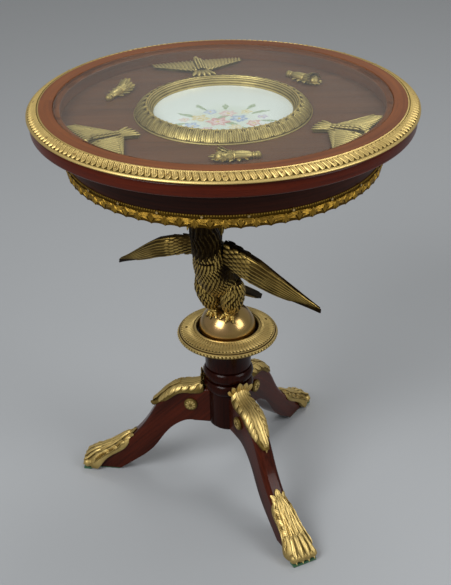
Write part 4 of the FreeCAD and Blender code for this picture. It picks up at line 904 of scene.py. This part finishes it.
def makeDishOrnament():
    look = dishOrnament
    radius, spin = look["radius"], look["spin"]
    leaves = ringOf("collarLeaves", ringLeaf("collarLeaf", look["leaf"], radius), look["count"], radius)
    parts = [spunRing("collarRing", look["profile"], spin), leaves]
    reach, height = look["pinPlace"]
    for azimuth in look["pins"]:
        head = bead("collarPin", look["pin"], (1, 1, 0.7), 2, 0.15)
        head.data.transform(turnedTo(azimuth) @ moved(reach, 0, height))
        parts.append(head)
    dressed(joined("dishGiltCollar", parts), gilt, ("dish_collar",))
    rim = spunRing("rimRing", look["bead"], spin)
    pearls = beadRing("rimPearls", look["pearls"], look["pearl"], look["pearlPlace"], (1.15, 1, 1.1))
    dressed(joined("dishGiltBead", [rim, pearls]), gilt, ("dish_bead",))


makeDishOrnament()

# leg mounts: leafed knees, hairy paws and flower bosses

kneeLeaf = {
    "path": ((43, 222), (51, 210), (65, 204), (87, 200), (105, 189), (120, 175), (131, 166)),
    "drop": ((131, 161), (139, 148)), "overStart": 0.48, "lift": 0.6,
    "blade": {"rows": ((0, 13, 0.3), (6, 15.5, 0.4), (14, 16.5, 0.4), (26, 17.5, 0.5), (40, 18, 0.5),
                       (52, 16.5, 0.5), (62, 17, 0.5), (72, 13, 0.5), (80, 13, 0.6), (88, 8, 0.6),
                       (94, 5.5, 0.8), (100, 1, 1.4)),
              "folds": (0.0, 0.9, 0.2, 1.0, 0.2, 1.1, 0.3, 1.5, 0.3, 1.1, 0.2, 1.0, 0.2, 0.9, 0.0),
              "thick": 1.4},
    "overleaf": {"rows": ((0, 5, 1.2), (10, 8, 1.8), (16, 7, 2.0), (26, 9, 2.2), (32, 7, 2.4), (42, 7, 2.8),
                          (50, 4, 3.6), (56, 0.8, 4.6)),
                 "folds": (0.0, 1.0, 0.2, 1.3, 0.2, 1.0, 0.0), "thick": 1.4},
    "lobe": {"rows": ((0, 3.4, 0.2), (4, 4.4, 0.6), (8, 4.8, 0.8), (12, 4.0, 0.9), (15, 2.4, 0.8),
                      (16.5, 0.6, 0.5)),
             "folds": (0.0, 0.7, 0.3, 1.0, 0.3, 0.7, 0.0), "thick": 1.2},
    # small lobes on the over leaf: place across, share along
    "knots": ((-4, 0.55), (4, 0.55), (0, 0.64), (-4, 0.7), (4, 0.7), (0, 0.82)),
    "knotSize": 0.5, "knotLift": 2.6,
    # lobes along both edges: share along, spread in degrees, size
    "sides": ((0.08, 56, 1.14), (0.21, 60, 1.2), (0.34, 62, 1.2), (0.47, 58, 1.32), (0.58, 48, 1.5),
              (0.7, 44, 1.2), (0.8, 38, 1.08), (0.88, 30, 0.96)),
    "sideRoot": 10, "droop": 0.5,
    # lobes standing at the top: place across, lean in degrees, size
    "crown": ((-13, -50, 0.95), (-8, -26, 1.2), (-1, -4, 1.45), (6, 16, 1.25), (12, 42, 1.05)),
    "crownReach": 45.5, "crownTaper": 0.16, "crownHeight": 208, "crownLean": 0.12,
    "crownFacing": (1, 0, 0.25)}


def makeKnee(name, azimuth):
    look = kneeLeaf
    node = "knee_mount_" + name
    turn = turnedTo(azimuth)
    path, drop = ([turn @ at(x, 0, z) for x, z in look[key]] for key in ("path", "drop"))
    across = turn @ Vector((0, -1, 0))
    ground = surfaceOf(node, "leg_" + name)
    blade, over, lobe = (leaf("knee" + key, look[key]) for key in ("blade", "overleaf", "lobe"))
    parts = [cadBase(node, "kneeSkin", 0.2, 1.3), layAlong(blade, path, across, surfaceOf(node))]
    start, _ = pathPoint(path, look["overStart"])
    overPath = [start] + path[4:-1] + drop
    parts.append(layAlong(over, overPath, across, ground, 1.0, look["lift"]))
    for y, share in look["knots"]:
        spot, along = pathPoint(overPath, share)
        parts.append(lay(lobe, spot + across * y * mm, along, ground, look["knotSize"], look["knotLift"]))
    for share, spread, size in look["sides"]:
        spot, along = pathPoint(path, share)
        swing = heading(spread)
        for out in (across, -across):
            way = along * swing.x + out * swing.y - look["droop"] * up
            parts.append(lay(lobe, spot + out * look["sideRoot"] * mm, way, ground, size, look["lift"]))
    facing = turn @ Vector(look["crownFacing"])
    for y, lean, size in look["crown"]:
        root = turn @ at(look["crownReach"] - look["crownTaper"] * abs(y), y, look["crownHeight"])
        swing = heading(lean)
        parts.append(stood(lobe, root, turn @ Vector((look["crownLean"], swing.y, swing.x)), facing, size))
    discard(blade, over, lobe)
    dressed(joined("kneeLeaf_" + name, parts), gilt, (node,))


claw = {"corners": 10, "root": 3.2, "tip": 0.5, "length": 9.5, "relief": 0.9}
pawHair = {
    "path": ((186, 81), (204, 69), (222, 58), (240, 48), (256, 37), (267, 27)),
    "halves": (4.0, 10.0, 14.0, 16.0, 18.5, 20.0), "overhang": 60,
    "lock": {"rows": ((0, 0.3, 0.3), (8, 1.2, 1.0), (18, 1.9, 1.5), (32, 2.1, 1.6), (44, 1.8, 1.4),
                      (54, 1.1, 1.0), (60, 0.3, 0.5)),
             "folds": (0.0, 0.7, 1.5, 0.7, 0.0), "thick": 1.2, "floor": 0.0},
    # rows of locks: how many, where they start and end along the paw, lift, wave
    "tiers": ((13, 0.3, 0.84, 0.2, 1.2), (11, 0.1, 0.66, 0.7, 1.6), (9, -0.06, 0.4, 1.1, 1.4)),
    "tierSteps": 7,
    # locks on the cheeks: drop in mm, extra share along
    "cheekRows": ((4, 0.05), (9, 0.062), (15, 0.07)),
    "cheeks": {"count": 5, "step": 0.16, "aside": 1.7, "rise": 4, "wide": 1.3, "lift": 0.1, "steps": 4},
    # lobes along both edges and at the top: place along or across, spread in degrees, size
    "edges": ((0.16, 30, 0.95), (0.32, 36, 1.1), (0.5, 40, 1.15), (0.68, 44, 1.1)),
    "edgeAside": 0.9, "edgeLift": 0.5,
    "peaks": ((-7, -26, 0.9), (0, 0, 1.25), (7, 26, 0.9)), "peakShare": 0.06, "peakLift": 0.6,
    "toeRidge": {"rows": ((0, 2.4, 0.6), (4, 3.8, 1.6), (9, 4.8, 2.8), (14, 4.4, 1.9), (20, 4.9, 2.6),
                          (27, 4.6, 2.2), (32, 3.6, 1.2), (35, 1.6, 0.2)),
                 "folds": (0.0, 1.6, 2.3, 1.6, 0.0), "thick": 1.4, "floor": 0.1},
    # toes: ridge end, tip and claw have their extra reach and their height
    "toes": {"count": 4, "pitch": 11.5, "reach": 270.5, "arc": 0.12, "steps": 5, "along": (0.7, 1.0),
             "gather": (0.72, 1.0), "ridgeLift": 0.3, "ridgeEnd": (6, 17),
             "tip": 5.6, "tipStretch": (1.0, 0.95, 0.9), "tipPlace": (2.2, 14.5),
             "clawPlace": (4.5, 12), "clawLean": 130, "clawSize": 0.8}}


def clawShape():
    deselectAll()
    bpy.ops.mesh.primitive_cone_add(vertices=claw["corners"], radius1=claw["root"] * mm,
                                    radius2=claw["tip"] * mm, depth=claw["length"] * mm,
                                    location=at(0, 0, claw["length"] / 2))
    shape = named("claw")
    bpy.ops.object.transform_apply(location=True, rotation=True, scale=True)
    return paintEvenly(shape, claw["relief"])


def pawPoint(path, across, share, sideways):
    # a point over the paw: share along its back, sideways from -1 to 1
    halves = pawHair["halves"]
    held = min(max(share, 0), 1)
    spot, along = pathPoint(path, held)
    place = min(held, 0.999) * (len(halves) - 1)
    n = int(place)
    half = blend(halves[n:n + 2], place - n)
    return spot + along * min(share, 0) * pawHair["overhang"] * mm + across * sideways * half * mm


def pawLocks(path, across, ground):
    look = pawHair
    lock = leaf("lock", look["lock"])
    laid = []
    for count, start, end, lift, wave in look["tiers"]:
        for n in range(count):
            sideways = 2 * (n + 0.5) / count - 1
            first = start + 0.07 * math.cos(5.1 * n + 9 * start) + 0.05 * abs(sideways)
            last = end - 0.06 * math.sin(3.7 * n + 4 * end) ** 2
            line = []
            for k in range(look["tierSteps"] + 1):
                share = k / look["tierSteps"]
                sway = wave * 0.05 * math.sin(2.4 * n + 5.5 * share)
                line.append(pawPoint(path, across, blend((first, last), share), sideways * 1.05 + sway))
            laid.append(layAlong(lock, line, across, ground, 1.15 + 0.3 * math.sin(4.3 * n), lift))
    cheeks = look["cheeks"]
    for side in (cheeks["aside"], -cheeks["aside"]):
        for drop, extra in look["cheekRows"]:
            for n in range(cheeks["count"]):
                share = cheeks["step"] * (n + 1)
                root = pawPoint(path, across, share + extra, side) - at(0, 0, drop)
                tip = pawPoint(path, across, share - cheeks["step"], side) - at(0, 0, drop - cheeks["rise"])
                line = [tip.lerp(root, k / cheeks["steps"]) for k in range(cheeks["steps"] + 1)]
                laid.append(layAlong(lock, line, up, ground, cheeks["wide"], cheeks["lift"]))
    discard(lock)
    return laid


def pawTufts(path, across, ground):
    look = pawHair
    tuft = leaf("tuft", kneeLeaf["lobe"])
    laid = []
    for share, spread, size in look["edges"]:
        _, along = pathPoint(path, share)
        swing = heading(spread)
        for side in (1, -1):
            root = pawPoint(path, across, share, side * look["edgeAside"])
            way = across * side * swing.y - along * swing.x
            laid.append(lay(tuft, root, way, ground, size, look["edgeLift"]))
    spot, along = pathPoint(path, look["peakShare"])
    for y, lean, size in look["peaks"]:
        swing = heading(lean)
        way = across * swing.y - along * swing.x
        laid.append(lay(tuft, spot + across * y * mm, way, ground, size, look["peakLift"]))
    discard(tuft)
    return laid


def pawToes(path, across, ground, turn):
    look = pawHair["toes"]
    ridge, nail = leaf("toeRidge", pawHair["toeRidge"]), clawShape()
    lean = Matrix.Rotation(math.radians(look["clawLean"]), 4, "Y") @ Matrix.Scale(look["clawSize"], 4)
    laid = []
    for n in range(look["count"]):
        y = (n - (look["count"] - 1) / 2) * look["pitch"]
        reach = look["reach"] - look["arc"] * abs(y)
        ends = (look[key] for key in ("ridgeEnd", "tipPlace", "clawPlace"))
        ridgeEnd, tipPlace, clawPlace = ((reach + out, y, height) for out, height in ends)
        line = []
        for k in range(look["steps"] + 1):
            share = k / look["steps"]
            spot, _ = pathPoint(path, blend(look["along"], share))
            line.append(spot - across * y * blend(look["gather"], share) * mm)
        line.append(turn @ at(*ridgeEnd))
        tip = bead("toeTip", look["tip"], look["tipStretch"])
        tip.data.transform(turn @ moved(*tipPlace))
        laid += [layAlong(ridge, line, across, ground, 1.0, look["ridgeLift"]), tip]
        laid.append(copyOf(nail, turn @ moved(*clawPlace) @ lean))
    discard(ridge, nail)
    return laid


def makePaw(name, azimuth):
    node = "paw_foot_" + name
    turn = turnedTo(azimuth)
    path = [turn @ at(x, 0, z) for x, z in pawHair["path"]]
    across = turn @ Vector((0, -1, 0))
    ground = surfaceOf(node, "leg_" + name)
    parts = [cadBase(node, "pawSkin", 0.5, 1.2, 3)] + pawLocks(path, across, ground)
    parts += pawTufts(path, across, ground) + pawToes(path, across, ground, turn)
    dressed(joined("lionPaw_" + name, parts), gilt, (node,))


flowerBoss = {
    "reach": 67.0, "height": 163.0, "side": 15.5, "petals": 9, "knob": 2.6, "knobLift": 3.4,
    "petal": {"rows": ((0.6, 0.4, 5.0), (3.5, 1.5, 5.0), (6.5, 2.5, 4.6), (9.2, 3.3, 3.6), (11.0, 3.2, 2.2),
                       (11.9, 1.8, 0.9)),
              "folds": (0.0, 0.5, 1.0, 0.5, 0.0), "thick": 1.0}}


def makeFlowerBosses():
    look = flowerBoss
    petal = leaf("petal", look["petal"])
    parts = [cadBase("rosettes", "bossBase", 0.2)]
    for azimuth in legAzimuths.values():
        turn = turnedTo(azimuth)
        for side in (1, -1):
            out = turn @ Vector((0, side, 0))
            root = turn @ at(look["reach"], side * look["side"], look["height"])
            for n in range(look["petals"]):
                swing = heading(360 * n / look["petals"])
                parts.append(stood(petal, root, turn @ Vector((swing.x, 0, swing.y)), out))
            knob = bead("bossKnob", look["knob"])
            knob.data.transform(Matrix.Translation(root + out * look["knobLift"] * mm))
            parts.append(knob)
    discard(petal)
    dressed(joined("flowerBosses", parts), gilt, ("rosettes",))


for name, azimuth in legAzimuths.items():
    makeKnee(name, azimuth)
    makePaw(name, azimuth)
makeFlowerBosses()

felt = {"round": 0.7, "steps": 2}


def makeFelt():
    pads = cadBase("felt_pads", "feltSoles", 0.0)
    modified(pads, "BEVEL", width=felt["round"] * mm, segments=felt["steps"])
    dressed(pads, greenFelt(), ("felt_pads",))


makeFelt()

# the eagle: feathers laid in rows over the cast body, wings and tail

eagle = {
    "azimuth": -118.5, "eye": (92, 14.5, 586), "eyeSize": 2.8,
    "beakTip": (120, 0, 575), "beakLean": 160, "beakSize": 1.25,
    "scale": {"rows": ((0, 2.4, 0.3), (4, 4.2, 1.2), (8, 4.2, 2.0), (11, 2.8, 2.2), (13, 0.8, 1.9)),
              "folds": (0.0, 0.5, 1.2, 0.5, 0.0), "thick": 0.9, "floor": 0.2},
    # the ruff's low floor and crest keep the neck dark: painted shade under the top
    "ruff": {"rows": ((0, 2.0, 0.3), (5, 3.2, 1.0), (10, 3.2, 1.6), (15, 2.2, 1.8), (18, 0.5, 1.5)),
             "folds": (0.0, 0.5, 1.2, 0.5, 0.0), "thick": 0.9, "floor": 0.0, "crest": 0.4},
    # feathered limbs: ends of the axis, radius, rows, feathers in a row, size
    "torso": {"top": (66, 0, 513), "foot": (4, 0, 395), "radius": 34, "rows": 22, "perRow": 32,
              "size": 0.64},
    "neck": {"top": (84, 0, 588), "foot": (64, 0, 508), "radius": 22, "rows": 9, "perRow": 18, "size": 0.9},
    "thigh": {"top": (28, 30, 438), "foot": (18, 16, 376), "radius": 18, "rows": 10, "perRow": 17,
              "size": 0.7},
    "strayTurn": 0.3, "straySize": 0.16, "strayLift": (0.1, 0.35),
    # bare shins are bright below this height, the skin between the feathers is dark
    "shinTop": 384, "shinRelief": 0.8, "skinRelief": 0.05,
    "brow": {"place": (84, 15.5, 589), "way": (1, 0.1, -0.1), "facing": (0, 0.6, 1), "size": 1.2},
    # stout toes over the globe: swing from straight ahead, then beads by distance and radius
    "toeSwings": (-28, 8, 44), "toeBeads": ((5, 4.4), (10, 4.0), (15, 4.1), (19, 3.2)),
    "toeDip": 0.55, "toeLift": 0.45, "nailLift": 2, "nailDip": 0.6, "nailSize": 0.6,
    # places of painted shade between body, wings and thighs: centre and radius in mm
    "shadeSpots": ((20, 40, 462, 30), (38, 36, 492, 26), (50, 28, 464, 20), (40, -40, 505, 26), (2, 0, 400, 20)),
    "shadeShare": 0.9}
eagleTurn = turnedTo(eagle["azimuth"])


def inEagle(x, y, z):
    return eagleTurn @ at(x, y, z)


def featherRows(pattern, surface, look, side=1):
    # lapped rows round an axis, tips towards its foot
    top, foot = (inEagle(x, side * y, z) for x, y, z in (look["top"], look["foot"]))
    axis = (foot - top).normalized()
    aside = axis.cross(up).normalized()
    ahead = axis.cross(aside)
    laid = []
    for row in range(look["rows"]):
        spot = foot.lerp(top, (row + 0.5) / look["rows"])
        for n in range(look["perRow"]):
            swing = heading(360 * (n + 0.5 * (row % 2)) / look["perRow"])
            out = aside * swing.x + ahead * swing.y
            stray = math.sin(12.9 * n + 7.3 * row)
            way = axis + axis.cross(out) * eagle["strayTurn"] * stray
            size = look["size"] * (1 + eagle["straySize"] * stray)
            lift = blend(eagle["strayLift"], stray ** 2)
            laid.append(lay(pattern, spot + out * look["radius"] * mm, way, surface, size, lift))
    return laid


def shadePainted(piece):
    # painted shade: darker round the listed places, where body, wings and thighs shade each other
    layer = piece.data.attributes["relief"].data
    for x, y, z, radius in eagle["shadeSpots"]:
        spot, reach = inEagle(x, y, z), radius * mm
        for v, value in zip(piece.data.vertices, layer):
            value.value *= 1 - eagle["shadeShare"] * math.exp(-((v.co - spot).length / reach) ** 4)
    return piece


def eagleToe(scale, globe, swing, side):
    look = eagle
    x, y, z = look["thigh"]["foot"]
    ankle = inEagle(x, side * y, z)
    turn = math.radians(side * swing)
    way = inEagle(math.cos(turn), math.sin(turn), -look["toeDip"]) / mm
    laid = []
    for far, radius in look["toeBeads"]:
        spot, normal = globe.find_nearest(ankle + way * far * mm)[:2]
        knuckle = bead("knuckle", radius, (1, 1, 0.85))
        knuckle.data.transform(Matrix.Translation(spot + normal * look["toeLift"] * radius * mm))
        laid.append(knuckle)
    tip = spot + normal * look["nailLift"] * mm
    return laid + [stood(scale, tip, way - normal * look["nailDip"], normal, look["nailSize"])]


def makeEagleBody():
    look = eagle
    globe, surface = surfaceOf("globe"), surfaceOf("eagle_body")
    scale, ruff, nail = leaf("bodyFeather", look["scale"]), leaf("ruffFeather", look["ruff"]), clawShape()
    body = cadBase("eagle_body", "eagleCore", look["skinRelief"], 1.7, 3)
    shin = look["shinTop"] * mm
    paintRelief(body, [look["shinRelief" if v.co.z < shin else "skinRelief"] for v in body.data.vertices])
    parts = [body] + featherRows(scale, surface, look["torso"]) + featherRows(ruff, surface, look["neck"])
    brow = look["brow"]
    for side in (1, -1):
        parts += featherRows(scale, surface, look["thigh"], side)
        x, y, z = look["eye"]
        eye = bead("eye", look["eyeSize"])
        eye.data.transform(Matrix.Translation(inEagle(x, side * y, z)))
        lines = (brow[key] for key in ("place", "way", "facing"))
        root, way, facing = (inEagle(x, side * y, z) for x, y, z in lines)
        parts += [eye, stood(scale, root, way, facing, brow["size"])]
        for swing in look["toeSwings"]:
            parts += eagleToe(scale, globe, swing, side)
    lean = Matrix.Rotation(math.radians(look["beakLean"]), 4, "Y") @ Matrix.Scale(look["beakSize"], 4)
    parts.append(copyOf(nail, Matrix.Translation(inEagle(*look["beakTip"])) @ eagleTurn @ lean))
    discard(scale, ruff, nail)
    dressed(shadePainted(joined("eagleBody", parts)), bronze, ("eagle_body",))


wing = {
    # along the span: share, drop, sweep, depth, thickness
    "stations": ((0, 0.0, -0.15, 1.05, 1.3), (0.2, 0.07, 0.5, 1.0, 1.0), (0.42, 0.2, 1.0, 0.98, 0.8),
                 (0.61, 0.45, 0.8, 0.75, 0.62), (0.81, 0.74, 0.43, 0.42, 0.45), (1, 1.0, 0, 0.18, 0.28)),
    "spread": (26, 190), "top": (518, 426), "forward": (52, 37), "sweep": 14, "thick": 9,
    "depth": {"left": 23.5, "right": 17.0}, "fullDepth": 23.5,
    "primary": {"rows": ((0, 2.6, 0.6), (12, 3.6, 1.2), (28, 4.0, 1.4), (45, 4.0, 1.4), (62, 3.8, 1.3),
                         (78, 3.4, 1.2), (92, 2.2, 1.0), (100, 0.5, 0.6)),
                "folds": (0.0, 0.5, 0.2, 1.3, 0.2, 0.5, 0.0), "thick": 0.9, "floor": 0.2},
    # long feathers, then shorter ones over them: heights in the blade, start and ends along it
    "quills": ({"count": 8, "heights": (-0.86, 0.86), "start": 0.34, "ends": (0.72, 0.99), "steps": 8,
                "lift": 0.2},
               {"count": 7, "heights": (-0.82, 0.82), "start": 0.2, "ends": (0.5, 0.62), "steps": 6,
                "lift": 1.0}),
    "scales": {"rows": 6, "count": 6, "start": 0.26, "step": 0.05, "heights": (-0.8, 0.8), "reach": 0.1,
               "size": 1.05, "lift": 1.0}}


def wingPoint(side, share, height, face):
    # a point of the blade: share of its span, height within its depth, front or back face
    table = wing["stations"]
    n = max(i for i in range(len(table) - 1) if table[i][0] <= share)
    rest = (share - table[n][0]) / (table[n + 1][0] - table[n][0])
    _, drop, sweep, depth, thick = (blend(pair, rest) for pair in zip(table[n], table[n + 1]))
    half = depth * wing["depth"]["left" if side > 0 else "right"]
    bulge = face * thick * wing["thick"] * math.sqrt(max(1 - height ** 2, 0))
    forward = blend(wing["forward"], share) + sweep * wing["sweep"] + bulge
    z = blend(wing["top"], drop) - half + height * half
    return inEagle(forward, side * blend(wing["spread"], share), z)


def makeWing(name, side):
    node = "eagle_wing_" + name
    surface = surfaceOf(node)
    scale, primary = leaf("covert", eagle["scale"]), leaf("primary", wing["primary"])
    parts = [cadBase(node, "wingBlade", 0.05, 1.4, 2)]
    broad = wing["depth"][name] / wing["fullDepth"]
    small = wing["scales"]
    for face in (1, -1):
        for row in wing["quills"]:
            for n in range(row["count"]):
                part = n / (row["count"] - 1)
                height, reach = blend(row["heights"], part), (row["start"], blend(row["ends"], part))
                shares = [blend(reach, k / row["steps"]) for k in range(row["steps"] + 1)]
                path = [wingPoint(side, share, height, face) for share in shares]
                parts.append(layAlong(primary, path, up, surface, broad, row["lift"]))
        for row in range(small["rows"]):
            share = small["start"] - small["step"] * row
            for n in range(small["count"]):
                height = blend(small["heights"], (n + 0.5 * (row % 2)) / (small["count"] - 0.5))
                root = wingPoint(side, share, height, face)
                way = wingPoint(side, share + small["reach"], height, face) - root
                parts.append(lay(scale, root, way, surface, small["size"] * broad, small["lift"]))
    discard(scale, primary)
    dressed(shadePainted(joined("eagleWing_" + name, parts)), bronze, (node,))


tail = {"root": 402.0, "thick": 9.0, "slope": 37.0, "length": 110.0, "halves": (12.0, 23.0), "quills": 7,
        "shares": (0.12, 0.3, 0.5, 0.7, 0.85), "tip": 0.99, "tipCurve": 0.12, "wide": 1.2, "lift": 0.2}


def makeTail():
    slope = math.radians(tail["slope"])
    back, down = math.cos(slope), math.sin(slope)
    surface = surfaceOf("eagle_tail")
    quill = leaf("tailFeather", wing["primary"])
    parts = [cadBase("eagle_tail", "tailBlade", 0.05, 1.4, 2)]
    across = eagleTurn @ Vector((0, 1, 0))
    for rise in (0, tail["thick"]):
        for n in range(tail["quills"]):
            part = 2 * n / (tail["quills"] - 1) - 1
            path = []
            for share in (*tail["shares"], tail["tip"] - tail["tipCurve"] * part ** 2):
                run = share * tail["length"]
                y = part * blend(tail["halves"], share)
                path.append(inEagle(-back * run - down * rise, y, tail["root"] - down * run + back * rise))
            parts.append(layAlong(quill, path, across, surface, tail["wide"], tail["lift"]))
    discard(quill)
    dressed(joined("eagleTail", parts), bronze, ("eagle_tail",))


stem = {
    # rings of fronds: low and high end, how many, first turn
    "tiers": ((514, 590, 7, 0), (575, 640, 9, 20), (612, 652, 9, 0)), "steps": 4, "lift": 0.2,
    # the axis leans back below its head, and the stem flares above the waist
    "head": 657, "leanSpan": 135, "lean": 25, "leanCurve": 1.3,
    "waist": 590, "flareSpan": 62, "radii": (10, 24),
    "frond": {"rows": ((0, 3.0, 0.5), (12, 5.0, 1.0), (22, 4.2, 1.2), (34, 6.0, 1.4), (46, 5.0, 1.6),
                       (58, 5.4, 2.0), (72, 3.2, 3.0), (80, 0.6, 3.6)),
              "folds": (0.0, 0.8, 0.2, 1.3, 0.2, 0.8, 0.0), "thick": 1.0}}


def stemPoint(z, out):
    lean = min(max(0.0, (stem["head"] - z) / stem["leanSpan"]), 1.0)
    radius = blend(stem["radii"], max(0, (z - stem["waist"]) / stem["flareSpan"]))
    return inEagle(stem["lean"] * lean ** stem["leanCurve"], 0, z) + out * radius * mm


def makeStem():
    surface = surfaceOf("support_stem")
    frond = leaf("frond", stem["frond"])
    parts = [cadBase("support_stem", "stemCore", 0.15, 1.4, 2)]
    for low, high, count, start in stem["tiers"]:
        for n in range(count):
            out = heading(start + 360 * n / count)
            heights = [blend((low, high), k / stem["steps"]) for k in range(stem["steps"] + 1)]
            path = [stemPoint(z, out) for z in heights]
            parts.append(layAlong(frond, path, up.cross(out), surface, 1.0, stem["lift"]))
    discard(frond)
    dressed(joined("supportStem", parts), bronze, ("support_stem",))


makeEagleBody()
makeWing("left", 1)
makeWing("right", -1)
makeTail()
makeStem()

# camera, lamps and floor

sceneLook = {"place": (0.0, -1.6989, 1.3633), "pitch": 29.831, "yaw": -0.075, "roll": -1.177, "lens": 70.71}


def addCamera():
    pitch, yaw, roll = (math.radians(sceneLook[key]) for key in ("pitch", "yaw", "roll"))
    forward = Vector((math.sin(yaw) * math.cos(pitch), math.cos(yaw) * math.cos(pitch), -math.sin(pitch)))
    right = Vector((math.cos(yaw), -math.sin(yaw), 0))
    above = right.cross(forward)
    side = math.cos(roll) * right + math.sin(roll) * above
    top = math.cos(roll) * above - math.sin(roll) * right
    turn = Matrix((side, top, -forward)).transposed()
    deselectAll()
    bpy.ops.object.camera_add(location=sceneLook["place"], rotation=turn.to_euler())
    camera = bpy.context.object
    camera.data.lens = sceneLook["lens"]
    bpy.context.scene.camera = camera


studio = {
    # lamps: name, place, aim, size, power
    "lamps": (("keyLamp", (-1.7, -1.9, 2.6), (0, 0, 0.5), 1.6, 82.0),
              ("fillLamp", (2.2, -1.2, 1.9), (0, 0, 0.4), 1.4, 34.0),
              ("backLamp", (0.8, 1.6, 3.6), (0, 0, 0.6), 1.4, 34.0)),
    "world": (0.63, 0.63, 0.62), "worldStrength": 0.55,
    "floor": (0.345, 0.36, 0.375), "floorRough": 0.7, "floorSize": 30}


def addStudio():
    for name, place, aim, size, power in studio["lamps"]:
        turn = (Vector(aim) - Vector(place)).to_track_quat("-Z", "Y").to_euler()
        bpy.ops.object.light_add(type="AREA", location=place, rotation=turn)
        lamp = named(name)
        lamp.data.size = size
        lamp.data.energy = power
    world = bpy.data.worlds.new("studioWorld")
    bpy.context.scene.world = world
    world.use_nodes = True
    background = world.node_tree.nodes["Background"]
    background.inputs["Color"].default_value = (*studio["world"], 1)
    background.inputs["Strength"].default_value = studio["worldStrength"]
    deselectAll()
    bpy.ops.mesh.primitive_plane_add(size=studio["floorSize"])
    floor = named("studioFloor")
    floor.data.materials.append(Finish("paleFloor").set(colour=studio["floor"], rough=studio["floorRough"]))
    bpy.context.scene.view_settings.view_transform = "Standard"


addCamera()
addStudio()
